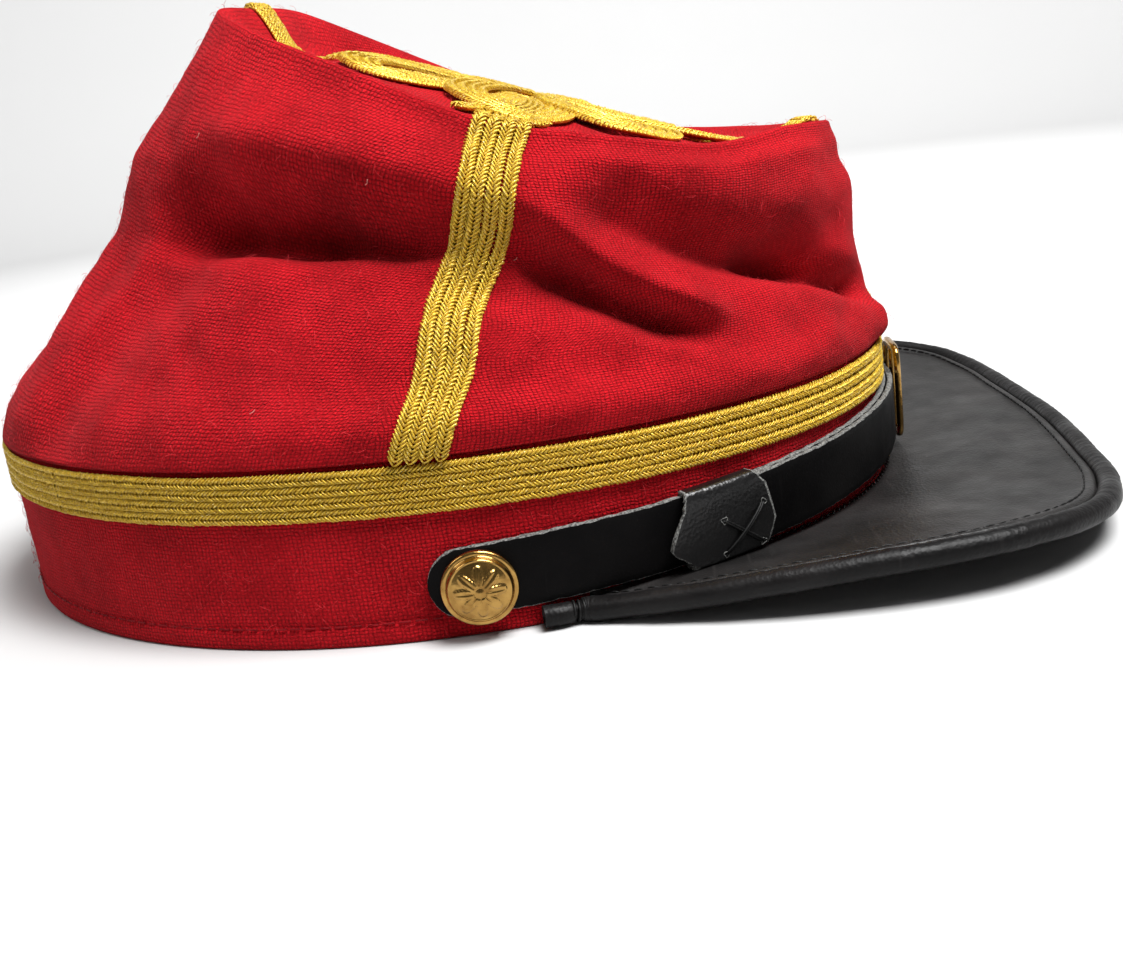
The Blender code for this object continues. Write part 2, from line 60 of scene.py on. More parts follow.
Point = tuple[float, float, float]
Socket = bpy.types.NodeSocket
Material = bpy.types.Material
Piece = bpy.types.Object
Tree = bpy.types.NodeTree

LOG = logging.getLogger("kepi")
MM = 0.001
BODY = "root"
UP = np.array([0.0, 0.0, 1.0])
FRONT = 270.0


class Slot(Enum):
    """The record's material slots."""

    WOOL = "wool"
    BRAID = "braid"
    LEATHER = "leather"
    METAL = "metal"


class Side(Enum):
    """The wearer's two sides."""

    RIGHT = "right"
    LEFT = "left"


# ---- numbers and points


def unit(vectors: Array) -> Array:
    """Scale vectors to length one.

    Args:
        vectors: Vectors along the last axis.

    Returns:
        The same directions with length one.
    """
    length = np.linalg.norm(vectors, axis=-1, keepdims=True)
    return vectors / np.maximum(length, 1e-9)


def bell(distance: Array, width: Any) -> Array:
    """Return a smooth bump that is one at no distance and fades over a width."""
    return np.exp(-((distance / width) ** 2))


def ease(share: Array) -> Array:
    """Return a smooth step from zero to one."""
    share = np.clip(share, 0.0, 1.0)
    return share * share * (3.0 - 2.0 * share)


def full_turn(count: int) -> Array:
    """Return equal steps round a full turn, in radians."""
    return np.arange(count) * 2.0 * math.pi / count


def round_cap(count: int) -> Array:
    """Return equal steps round the cap, in degrees."""
    return np.arange(count) * 360.0 / count


def mirrored(angle: Any) -> Any:
    """Return the angle of the same place on the cap's other side."""
    return 2.0 * FRONT - angle


def signed_power(values: Array, power: float) -> Array:
    """Return values raised to a power, with their signs kept."""
    return np.sign(values) * np.abs(values) ** power


def run_along(points: Array) -> Array:
    """Return how far along a line each of its points is."""
    return np.concatenate([[0.0], np.cumsum(np.linalg.norm(np.diff(points, axis=0), axis=1))])


def along_row(values: Sequence[float], place: Array, wrap: bool = False) -> Array:
    """Read equally spaced values at fractional places, along a smooth curve through them.

    Args:
        values: The row of values.
        place: Where to read, in steps from the first value.
        wrap: Whether the row closes on itself.

    Returns:
        The values at the places.
    """
    row = np.asarray(values, dtype=float)
    place = np.asarray(place, dtype=float)
    first = np.floor(place).astype(int)
    share = place - first

    def value(shift: int) -> Array:
        """Read the row some steps on from the first value."""
        index = first + shift
        return row[index % len(row)] if wrap else row[np.clip(index, 0, len(row) - 1)]

    a, b, c, d = (value(shift) for shift in (-1, 0, 1, 2))
    curve = (2 * a - 5 * b + 4 * c - d) * share ** 2 + (3 * b - a - 3 * c + d) * share ** 3
    return b + 0.5 * ((c - a) * share + curve)


def along_table(rows: Sequence[Any], key: str, column: str, at: Array) -> Array:
    """Read a column of a table between its keys, along a smooth curve.

    Args:
        rows: The table's rows, with rising keys.
        key: Name of the key column.
        column: Name of the column to read.
        at: The keys to read at.

    Returns:
        The column's values there.
    """
    keys = [getattr(row, key) for row in rows]
    values = [getattr(row, column) for row in rows]
    return along_row(values, np.interp(at, keys, np.arange(len(keys))))


def waves(points: Array, length: float, seed: int, count: int = 7) -> Array:
    """Make smooth seeded noise from a few plane waves.

    Args:
        points: Places in millimetres, along the last axis.
        length: Wave length in millimetres.
        seed: Seed of the waves' directions.
        count: How many waves are added up.

    Returns:
        Values of about minus one to one.
    """
    dice = np.random.default_rng(seed)
    total = np.zeros(points.shape[:-1])
    for _ in range(count):
        direction = unit(dice.normal(size=3)) * (2.0 * math.pi / length) * dice.uniform(0.7, 1.5)
        total = total + np.sin(points @ direction + dice.uniform(0.0, 2.0 * math.pi))
    return total / math.sqrt(count)


# ---- the cap's form


@dataclass(frozen=True)
class CrownSection:
    """Where the rim is at an angle, and how the wall below it bulges, falls in and rolls out."""

    angle: float
    rim_x: float
    rim_y: float
    rim_z: float
    belly: float
    waist: float
    waist_at: float
    shoulder: float
    shoulder_at: float


@dataclass(frozen=True)
class Fold:
    """A fold of the crown wall, from one place to another, each an angle and a share of the height."""

    angle: float
    level: float
    to_angle: float
    to_level: float
    above: float
    below: float
    depth: float


@dataclass(frozen=True)
class PeakEdge:
    """A place on the peak's rolled edge: its bearing from straight ahead, reach and height."""

    bearing: float
    reach: float
    height: float


@dataclass(frozen=True)
class StrapPoint:
    """A place on the chin strap's middle line: height, and how far it stands off the band."""

    angle: float
    height: float
    lift: float


SECTION_STEP = 30.0
CROWN_SECTIONS = tuple(CrownSection(*row) for row in (
    (0, 66.0, -28.0, 88.5, 2.0, 4.0, 0.55, 2.0, 0.80),
    (30, 58.0, 4.0, 105.5, 2.0, 3.0, 0.50, 2.5, 0.76),
    (60, 33.0, 27.0, 118.0, 2.0, 1.5, 0.42, 4.0, 0.72),
    (90, 0.0, 31.0, 118.5, 2.0, 1.5, 0.40, 5.0, 0.70),
    (120, -31.0, 25.5, 114.5, 2.0, 2.5, 0.42, 5.5, 0.70),
    (150, -57.0, 3.0, 101.5, 2.0, 3.5, 0.54, 3.5, 0.76),
    (180, -66.5, -28.0, 85.5, 2.2, 5.0, 0.58, 3.0, 0.80),
    (210, -61.0, -54.0, 78.5, 2.2, 2.0, 0.52, 3.5, 0.78),
    (240, -37.0, -79.0, 77.5, 1.5, 1.0, 0.50, 3.5, 0.78),
    (270, 0.0, -88.5, 78.0, 0.8, 0.0, 0.50, 3.5, 0.80),
    (300, 37.0, -79.0, 77.5, 1.2, 1.0, 0.50, 3.0, 0.80),
    (330, 60.0, -55.0, 80.5, 1.8, 2.0, 0.52, 2.5, 0.80),
))

CROWN_FOLDS = tuple(Fold(*row) for row in (
    (142, 0.62, 176, 0.655, 7.0, 2.8, -8.8), (139, 0.575, 157, 0.615, 6.5, 2.8, -8.0),
    (146, 0.75, 176, 0.79, 8.0, 4.5, 3.2), (150, 0.50, 178, 0.53, 4.5, 8.0, 2.0),
    (189, 0.675, 211, 0.37, 3.0, 3.8, -7.0), (192, 0.71, 214, 0.43, 3.6, 2.8, 3.8),
    (205, 0.74, 236, 0.47, 9.0, 5.0, -6.4), (234, 0.49, 252, 0.28, 4.8, 3.4, -7.2),
    (200, 0.95, 240, 0.90, 5.0, 7.0, 2.2), (234, 0.83, 268, 0.82, 6.0, 7.0, -2.6),
    (139, 0.40, 134, 0.14, 10.0, 10.0, -3.4), (130, 0.58, 130, 0.20, 5.0, 5.0, 1.2),
    (102, 0.53, 122, 0.53, 7.0, 6.0, -1.6), (116, 0.42, 127, 0.12, 6.0, 8.0, 2.0),
    (100, 0.36, 118, 0.36, 9.0, 9.0, 0.5), (84, 0.38, 94, 0.34, 8.0, 8.0, 2.4),
    (96, 0.74, 128, 0.70, 8.0, 10.0, -4.2), (258, 0.16, 258, 0.04, 5.0, 5.0, 2.0),
    (270, 0.02, 270, 0.32, 6.5, 6.5, -2.0), (0, 0.60, 40, 0.54, 8.0, 4.0, -5.0),
    (4, 0.78, 42, 0.74, 6.0, 7.0, 2.2), (352, 0.64, 318, 0.36, 3.5, 6.0, -4.6),
    (342, 0.80, 300, 0.50, 7.0, 5.0, -4.0),
))

RIM_STEP = 15.0
RIM_EASE = (
    (0.0, 0.0), (0.0, 0.0), (0.0, 0.0), (0.0, 0.4), (0.0, 0.8), (-0.6, 0.2), (-1.4, -0.2), (1.4, 0.4),
    (3.0, 0.6), (2.0, 0.2), (0.0, 0.6), (0.0, 1.2), (0.0, 1.6), (0.2, 3.0), (0.4, 2.5), (0.8, 0.9),
    (3.0, 2.0), (5.4, 1.2), (0.6, 0.4), (0.4, 0.4), (1.0, 0.4), (0.6, 0.2), (0.0, 0.0), (0.0, 0.0),
)

PEAK_EDGE = tuple(PeakEdge(*row) for row in (
    (0.0, 79.6, 5.3), (12.0, 80.8, 5.4), (24.0, 85.0, 5.6), (36.0, 92.7, 6.4), (48.0, 100.2, 8.0),
    (60.0, 100.9, 9.2), (74.0, 95.6, 8.4), (87.0, 91.2, 6.2), (99.0, 88.6, 3.6), (105.0, 88.2, 2.5),
))

STRAP_LINE = tuple(StrapPoint(*row) for row in (
    (180.0, 10.6, 0.4), (189.0, 10.8, 0.4), (198.0, 11.5, 0.5),
    (207.0, 12.3, 1.4), (216.0, 13.1, 1.8), (225.0, 13.8, 1.6),
    (240.0, 14.6, 0.8), (255.0, 15.3, 0.4), (270.0, 15.4, 0.4),
))


@dataclass(frozen=True)
class CapShape:
    """The cap's main form: the band's oval, the crown's wall, its rim and the sunk top."""

    half_width: float
    half_length: float
    band_height: float = 34.2
    band_rise: float = 0.016
    seam_out: float = 0.9
    belly_at: float = 0.10
    belly_width: float = 0.09
    roll_width: float = 0.14
    fold_arc: float = 1.3
    fold_wall: float = 64.0
    fold_fade: float = 9.0
    foot_ease: float = 0.06
    rim_ease: float = 0.10
    cloth: float = 1.9
    bead: float = 1.7
    bead_share: float = 0.955
    tip_middle_y: float = -30.0
    tip_height: float = 90.4
    tip_slope: float = 0.367
    tip_dome: float = 2.4
    tip_dip: float = 4.0
    tip_steepness: float = 12.0
    tip_power: int = 8
    ripple: float = 0.30
    strip_angle: float = 183.0
    stiffness: float = 0.85
    stiff_width: float = 8.0
    gap: float = 0.3

    def out(self, angle: Array) -> Array:
        """Return the directions that point straight out of the band at some angles."""
        turn = np.radians(np.asarray(angle, dtype=float))
        spoke = np.stack([np.cos(turn) / self.half_width, np.sin(turn) / self.half_length, 0 * turn], -1)
        return unit(spoke)

    def oval(self, angle: Array, out: Any, height: Any) -> Array:
        """Return points on the band's oval.

        Args:
            angle: Angles round the cap.
            out: Distance outwards from the band's face.
            height: Height above the lower edge.

        Returns:
            The points.
        """
        turn = np.radians(np.asarray(angle, dtype=float))
        x = self.half_width * np.cos(turn)
        y = self.half_length * np.sin(turn)
        foot = np.stack([x, y, np.broadcast_to(height, turn.shape)], -1)
        return foot + self.out(angle) * np.broadcast_to(out, turn.shape)[..., None]

    def step(self, angle: float) -> float:
        """Return the millimetres along the band for each degree at an angle."""
        turn = math.radians(angle)
        return math.hypot(self.half_width * math.sin(turn), self.half_length * math.cos(turn)) * math.radians(1)

    def tilted(self, height: Any, y: Array) -> Array:
        """Return a height on the band, which climbs a little towards the back."""
        return height + self.band_rise * y

    def section(self, column: str, angle: Array) -> Array:
        """Return a column of the crown's sections at some angles."""
        values = [getattr(row, column) for row in CROWN_SECTIONS]
        return along_row(values, np.asarray(angle, dtype=float) / SECTION_STEP, wrap=True)

    def rim(self, angle: Array) -> Array:
        """Return points on the rim."""
        points = np.stack([self.section(column, angle) for column in ("rim_x", "rim_y", "rim_z")], -1)
        out, up = (along_row([row[k] for row in RIM_EASE], np.asarray(angle) / RIM_STEP, wrap=True) for k in (0, 1))
        return points + self.out(angle) * out[..., None] + UP * up[..., None]

    def folds(self, angle: Array, level: Array) -> Array:
        """Return how far the folds push the wall out, which they do less beside the stiff side strips.

        Args:
            angle: Angles round the cap.
            level: Shares of the wall's height.

        Returns:
            The distances.
        """
        total = np.zeros(np.broadcast(angle, level).shape)
        for fold in CROWN_FOLDS:
            run = ((angle - fold.angle + 180.0) % 360.0 - 180.0) * self.fold_arc
            climb = (level - fold.level) * self.fold_wall
            turned, climbed = fold.to_angle - fold.angle, fold.to_level - fold.level
            end = np.array([turned * self.fold_arc, climbed * self.fold_wall])
            length = np.linalg.norm(end)
            ahead = end / length
            upwards = np.array([-ahead[1], ahead[0]]) * (1.0 if ahead[0] > 0 else -1.0)
            along = run * ahead[0] + climb * ahead[1]
            across = run * upwards[0] + climb * upwards[1]
            past = np.maximum(0.0, np.maximum(-along, along - length))
            width = np.where(across > 0, fold.above, fold.below)
            total = total + fold.depth * bell(past, self.fold_fade) * bell(across, width)
        from_right = np.abs(angle % 360.0 - self.strip_angle)
        from_left = np.abs((angle + self.strip_angle) % 360.0 - 180.0)
        return total * (1.0 - self.stiffness * bell(np.minimum(from_right, from_left), self.stiff_width))

    def wall(self, angle: Array, level: Array) -> Array:
        """Return points on the crown's outer face.

        Args:
            angle: Angles round the cap.
            level: Shares of the height, 0 at the band and 1 at the rim.

        Returns:
            The points.
        """
        foot = self.oval(angle, self.seam_out, 0.0)
        foot[..., 2] = self.tilted(self.band_height, foot[..., 1]) + self.gap
        rim = self.rim(angle)
        out = self.out(angle)
        rise = rim[..., 2] - foot[..., 2]
        run = ((foot - rim) * out).sum(-1)
        face = unit(out * rise[..., None] + UP * run[..., None])
        push = self.section("belly", angle) * bell(level - self.belly_at, self.belly_width)
        push += self.section("shoulder", angle) * bell(level - self.section("shoulder_at", angle), self.roll_width)
        push -= self.section("waist", angle) * bell(level - self.section("waist_at", angle), self.roll_width)
        push += self.folds(angle, level)
        rounded = 1.0 - np.clip(level / self.foot_ease, 0.0, 1.0)
        push *= np.sqrt(1.0 - rounded ** 2) * ease((1.0 - level) / self.rim_ease)
        face_points = foot + (rim - foot) * level[..., None] + face * push[..., None]
        soft = waves(face_points, 21.0, 5) + 0.5 * waves(face_points, 9.0, 6)
        return face_points + face * (soft * self.ripple * ease(level / 0.1) * ease((1.0 - level) / 0.1))[..., None]

    def plane(self, y: Array) -> Array:
        """Return the height of the sunk top, which falls towards the front."""
        sunk = self.tip_dip * ease((y - 4.0) / 22.0)
        return self.tip_height + self.tip_slope * (y - self.tip_middle_y) - sunk

    def tip(self, angle: Array, share: Array) -> Array:
        """Return points on the top's cloth.

        Args:
            angle: Angles round the cap.
            share: 0 at the top's middle and 1 at its edge.

        Returns:
            The points.
        """
        rim = self.rim(angle)
        middle = np.array([0.0, self.tip_middle_y, 0.0])
        flat = rim * np.array([1.0, 1.0, 0.0])
        edge = flat - unit(flat - middle) * (self.cloth + self.gap)
        point = middle + (edge - middle) * share[..., None]
        lift = rim[..., 2] - self.plane(rim[..., 1])
        power = self.tip_power + self.tip_steepness * ease(rim[..., 1] / 25.0)
        flat_x = point[..., 0] / 55.0
        soft = waves(point, 26.0, 8) * 0.5 * (1.0 - share ** 2)
        point[..., 2] = self.plane(point[..., 1]) + lift * share ** power + soft
        point[..., 2] -= self.tip_dome * flat_x ** 2 * (1.0 - share ** power)
        return point

    def bead_point(self, angle: Array, share: Array) -> Array:
        """Return points on the soft roll that leads over the rim.

        Args:
            angle: Angles round the cap.
            share: 0 at the wall's end and 1 at the top's seam.

        Returns:
            The points.
        """
        ones = np.ones_like(share)
        start = self.wall(angle, ones)
        rising = unit(start - self.wall(angle, ones * 0.96))
        end = self.tip(angle, ones * self.bead_share)
        inner = unit(self.tip(angle, ones) - end)
        first = start + rising * self.bead
        last = end + inner * self.bead
        s = share[..., None]
        return (1 - s) ** 3 * start + 3 * (1 - s) ** 2 * s * first + 3 * (1 - s) * s ** 2 * last + s ** 3 * end

    def skin(self, angle: Array, station: Array) -> Array:
        """Return points on the whole crown.

        Args:
            angle: Angles round the cap.
            station: 0 at the band, 1 at the rim, 2 at the top's seam and 3 at the top's middle.

        Returns:
            The points.
        """
        angle, station = np.broadcast_arrays(np.asarray(angle, dtype=float), np.asarray(station, dtype=float))
        wall = self.wall(angle, np.clip(station, 0.0, 1.0))
        bead = self.bead_point(angle, np.clip(station - 1.0, 0.0, 1.0))
        tip = self.tip(angle, self.bead_share * (1.0 - np.clip(station - 2.0, 0.0, 1.0)))
        on_wall = (station <= 1.0)[..., None]
        on_bead = (station <= 2.0)[..., None]
        return np.where(on_wall, wall, np.where(on_bead, bead, tip))

    def skin_normal(self, angle: Array, station: Array) -> Array:
        """Return the directions that point out of the crown's cloth."""
        turn, climb = 0.6, 0.012
        round_it = self.skin(angle + turn, station) - self.skin(angle - turn, station)
        low = np.clip(station - climb, 0.0, 2.985)
        high = np.clip(station + climb, 0.015, 3.0)
        return unit(np.cross(round_it, self.skin(angle, high) - self.skin(angle, low)))

    def roll_middle(self, bearing: Array) -> Array:
        """Return the middle line of the peak's rolled edge."""
        away = np.abs(bearing)
        reach = along_table(PEAK_EDGE, "bearing", "reach", away)
        height = along_table(PEAK_EDGE, "bearing", "height", away)
        turn = np.radians(bearing)
        return np.stack([reach * np.sin(turn), -60.0 - reach * np.cos(turn), height], -1)

    def strap(self, column: str, angle: Array) -> Array:
        """Return a column of the strap's table at some angles, the same on both sides."""
        folded = np.where(np.asarray(angle) <= FRONT, angle, mirrored(np.asarray(angle)))
        return along_table(STRAP_LINE, "angle", column, folded)


# ---- making meshes


@dataclass
class Form:
    """Points and faces of a shape, with a material number for each face and its cloth coordinates."""

    points: Array
    faces: list[tuple[int, ...]]
    marks: list[int] = field(default_factory=list)
    cloth_map: Array | None = None

    def join(self, other: "Form") -> "Form":
        """Return this shape and another as one."""
        shift = len(self.points)
        moved = [tuple(i + shift for i in face) for face in other.faces]
        marks = (self.marks or [0] * len(self.faces)) + (other.marks or [0] * len(other.faces))
        return Form(np.concatenate([self.points, other.points]), self.faces + moved, marks)


def grid_faces(rows: int, columns: int, close_rows: bool = False, close_columns: bool = False) -> Array:
    """List the four-sided faces of a grid of points.

    Args:
        rows: Number of rows.
        columns: Number of points in a row.
        close_rows: Whether the last row joins the first.
        close_columns: Whether each row closes on itself.

    Returns:
        Point numbers, four for each face.
    """
    last_row, last_column = rows - (not close_rows), columns - (not close_columns)
    i, j = np.meshgrid(np.arange(last_row), np.arange(last_column), indexing="ij")
    over, on = (i + 1) % rows, (j + 1) % columns
    corners = (i * columns + j, i * columns + on, over * columns + on, over * columns + j)
    return np.stack(corners, -1).reshape(-1, 4)


def grid_form(points: Array, close_rows: bool = False, close_columns: bool = False, caps: bool = False) -> Form:
    """Make a shape from rows of points.

    Args:
        points: Rows of points.
        close_rows: Whether the last row joins the first.
        close_columns: Whether each row closes on itself.
        caps: Whether a fan closes the first and the last row.

    Returns:
        The shape.
    """
    rows, columns = points.shape[:2]
    faces = [tuple(face) for face in grid_faces(rows, columns, close_rows, close_columns).tolist()]
    flat = points.reshape(-1, 3)
    if caps:
        for row, turn in ((0, -1), (rows - 1, 1)):
            centre = len(flat)
            flat = np.concatenate([flat, points[row].mean(0)[None]])
            ring = [row * columns + j for j in range(columns)][::turn]
            faces += [(ring[j], ring[(j + 1) % columns], centre) for j in range(columns)]
    return Form(flat, faces)


def panel_map(points: Array) -> Array:
    """Lay the weave straight in each of the four panels of a closed wall.

    Args:
        points: Rows of points of the cloth, where the last row joins the first.

    Returns:
        Cloth coordinates for each corner of each face.
    """
    rows, columns = points.shape[:2]
    steps = np.linalg.norm(np.roll(points, -1, 1) - points, axis=-1)
    run = np.concatenate([np.zeros((rows, 1)), np.cumsum(steps, 1)], 1)
    run = np.concatenate([run, run[:1]], 0)
    rise = np.linalg.norm(np.roll(points, -1, 0) - points, axis=-1).mean(1)
    climb = np.zeros((rows + 1, columns + 1))
    climb[1:] = np.cumsum(rise)[:, None]
    quarter = columns // 4
    i, j = np.meshgrid(np.arange(rows), np.arange(columns), indexing="ij")
    panel = (j // quarter) * quarter + quarter // 2
    corners = []
    for down, on in ((0, 0), (0, 1), (1, 1), (1, 0)):
        u = run[i + down, j + on] - run[i + down, panel]
        corners.append(np.stack([u, climb[i + down, j + on]], -1))
    return np.stack(corners, 2).reshape(-1, 2)


def joined(forms: Sequence[Form]) -> Form:
    """Return several shapes as one."""
    return reduce(Form.join, forms)


def sweep(middle: Array, side: Array, rise: Array, profile: Array, closed: bool = False) -> Form:
    """Sweep a closed profile along a line.

    Args:
        middle: Points of the line.
        side: Direction of the profile's first axis at each point.
        rise: Direction of its second axis.
        profile: Profile points, the same for all of the line or a set for each point.
        closed: Whether the line closes on itself.

    Returns:
        The swept shape, capped where it is open.
    """
    profile = np.broadcast_to(profile, (len(middle), *profile.shape[-2:]))
    rings = middle[:, None] + side[:, None] * profile[..., :1] + rise[:, None] * profile[..., 1:]
    return grid_form(rings, close_rows=closed, close_columns=True, caps=not closed)


def ahead_of(points: Array, closed: bool = False) -> Array:
    """Return the running direction at each point of a line."""
    if closed:
        return unit(np.roll(points, -1, 0) - np.roll(points, 1, 0))
    return unit(np.gradient(points, axis=0))


def cross_axes(ahead: Array, normal: Array) -> tuple[Array, Array]:
    """Return the two directions across a line, the second one towards a normal."""
    side = unit(np.cross(ahead, normal))
    return side, unit(np.cross(side, ahead))


def circle(sides: int) -> Array:
    """Return the points of a circle with radius one."""
    turn = full_turn(sides)
    return np.stack([np.cos(turn), np.sin(turn)], -1)


def tube(middle: Array, radius: Any, normal: Array, sides: int = 10, closed: bool = False) -> Form:
    """Make a tube along a line.

    Args:
        middle: Points of the line.
        radius: Its radius, one for all or one for each point.
        normal: A direction across the line at each point.
        sides: Number of sides.
        closed: Whether the line closes on itself.

    Returns:
        The tube, capped where it is open.
    """
    side, rise = cross_axes(ahead_of(middle, closed), normal)
    rings = circle(sides)[None] * np.broadcast_to(radius, (len(middle),))[:, None, None]
    return sweep(middle, side, rise, rings, closed)


def through(points: Array, count: int) -> Array:
    """Return a number of points along a smooth curve through a few."""
    place = np.linspace(0.0, len(points) - 1.0, count)
    return np.stack([along_row(points[:, axis], place) for axis in range(3)], -1)


def band_middle() -> Array:
    """Return the middle of the band's foot in the frame, in metres."""
    low, high = (np.array(corner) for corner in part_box("band"))
    return np.array([(low[0] + high[0]) / 2, (low[1] + high[1]) / 2, low[2]])


def band_halves() -> tuple[float, float]:
    """Return half the band's width and half its length, in millimetres."""
    low, high = (np.array(corner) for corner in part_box("band"))
    half = (high - low) / 2 / MM
    return float(half[0]), float(half[1])


def placed(name: str, data: Any) -> Piece:
    """Make an object of some data and put it into the scene."""
    made = bpy.data.objects.new(name, data)
    bpy.context.collection.objects.link(made)
    return made


def make_object(
    name: str, form: Form, materials: Sequence[Material], outward: bool = True
) -> Piece:
    """Make a mesh object from a shape.

    Args:
        name: Name of the piece.
        form: The shape, in millimetres round the band's middle.
        materials: Its materials, in the order of the faces' marks.
        outward: Whether the faces are turned outwards.

    Returns:
        The object, at the frame's origin.
    """
    mesh = bpy.data.meshes.new(name)
    mesh.from_pydata((form.points * MM + band_middle()).tolist(), [], form.faces)
    if form.marks:
        mesh.polygons.foreach_set("material_index", form.marks)
    if form.cloth_map is not None:
        layer = mesh.uv_layers.new(name="cloth")
        layer.data.foreach_set("uv", form.cloth_map.reshape(-1).astype(np.float32))
    for material in materials:
        mesh.materials.append(material)
    if outward:
        work = bmesh.new()
        work.from_mesh(mesh)
        bmesh.ops.recalc_face_normals(work, faces=work.faces)
        work.to_mesh(mesh)
        work.free()
    mesh.shade_smooth()
    return placed(name, mesh)


def hand_over(piece: Piece, slot: Slot, *nodes: str) -> Piece:
    """Give a finished piece to the frame.

    Args:
        piece: The piece.
        slot: The material slot that it belongs to; not used.
        nodes: The frame's nodes that it stands for.

    Returns:
        The piece.
    """
    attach(piece, BODY)
    if nodes:
        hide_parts(*nodes)
    LOG.info("%s: %d faces", piece.name, len(piece.data.polygons))
    return piece


# ---- surface finishes


class NodeWriter:
    """Writes nodes into a tree."""

    tree: Tree

    def node(self, kind: str, inputs: dict[Any, Any] | None = None, **settings: Any) -> bpy.types.Node:
        """Add a node.

        Args:
            kind: Blender's name of the node.
            inputs: Values or sockets for its inputs, by name or number, or a list of them for one input.
            settings: Its other properties.

        Returns:
            The node.
        """
        node = self.tree.nodes.new(kind)
        for key, value in settings.items():
            setattr(node, key, value)
        for key, value in (inputs or {}).items():
            for one in value if isinstance(value, list) else [value]:
                self.feed(node.inputs[key], one)
        return node

    def feed(self, socket: Socket, value: Any) -> None:
        """Link a socket to another one, or set its value, where a colour may lack its alpha."""
        if isinstance(value, Socket):
            self.tree.links.new(value, socket)
        else:
            plain = socket.type == "RGBA" and len(value) == 3
            socket.default_value = (*value, 1.0) if plain else value

    def add(self, kind: str, inputs: dict[Any, Any] | None = None, out: Any = 0, **settings: Any) -> Socket:
        """Add a node in the same way and return one of its outputs, by name or number."""
        return self.node(kind, inputs, **settings).outputs[out]

    def maths(self, operation: str, first: Any, second: Any = 0.0) -> Socket:
        """Return the result of a sum on two values."""
        return self.add("ShaderNodeMath", {0: first, 1: second}, operation=operation)

    def times(self, first: Any, second: Any) -> Socket:
        """Return one value times another."""
        return self.maths("MULTIPLY", first, second)

    def vector(self, operation: str, first: Any, second: Any) -> Socket:
        """Return the result of a sum on two vectors."""
        return self.add("ShaderNodeVectorMath", {0: first, 1: second}, operation=operation)


class ShaderGraph(NodeWriter):
    """Writes the nodes of one material."""

    def __init__(self, name: str) -> None:
        """Start a material with a principled shader and its output."""
        self.material = bpy.data.materials.new(name)
        self.material.use_nodes = True
        self.tree = self.material.node_tree
        self.tree.nodes.clear()
        self.shader = self.node("ShaderNodeBsdfPrincipled")
        self.node("ShaderNodeOutputMaterial", {"Surface": self.shader.outputs["BSDF"]})

    def place(self) -> Socket:
        """Return the Object coordinates."""
        return self.add("ShaderNodeTexCoord", out="Object")

    def noise(self, scale: float, detail: float = 2.0, vector: Any = None) -> Socket:
        """Return noise, with a scale in cells for each metre."""
        inputs = {"Vector": vector or self.place(), "Scale": scale, "Detail": detail}
        return self.add("ShaderNodeTexNoise", inputs)

    def ramp(self, value: Any, low: float, high: float, first: float = 0.0, last: float = 1.0) -> Socket:
        """Return a value spread from one range to another."""
        inputs = {0: value, 1: low, 2: high, 3: first, 4: last}
        return self.add("ShaderNodeMapRange", inputs)

    def mix(self, share: Any, first: Any, second: Any) -> Socket:
        """Return a colour between two."""
        return self.add("ShaderNodeMix", {0: share, 6: first, 7: second}, out=2, data_type="RGBA")

    def bump(self, height: Any, distance: float, base: Any = None) -> Socket:
        """Return the surface's direction, raised by a height map, with the distance in metres."""
        inputs = {"Height": height, "Distance": distance}
        if base is not None:
            inputs["Normal"] = base
        return self.add("ShaderNodeBump", inputs)

    def shade(self, **values: Any) -> Material:
        """Set the shader's inputs, with an underscore for each space in a name, and return the material."""
        for key, value in values.items():
            self.feed(self.shader.inputs[key.replace("_", " ")], value)
        return self.material


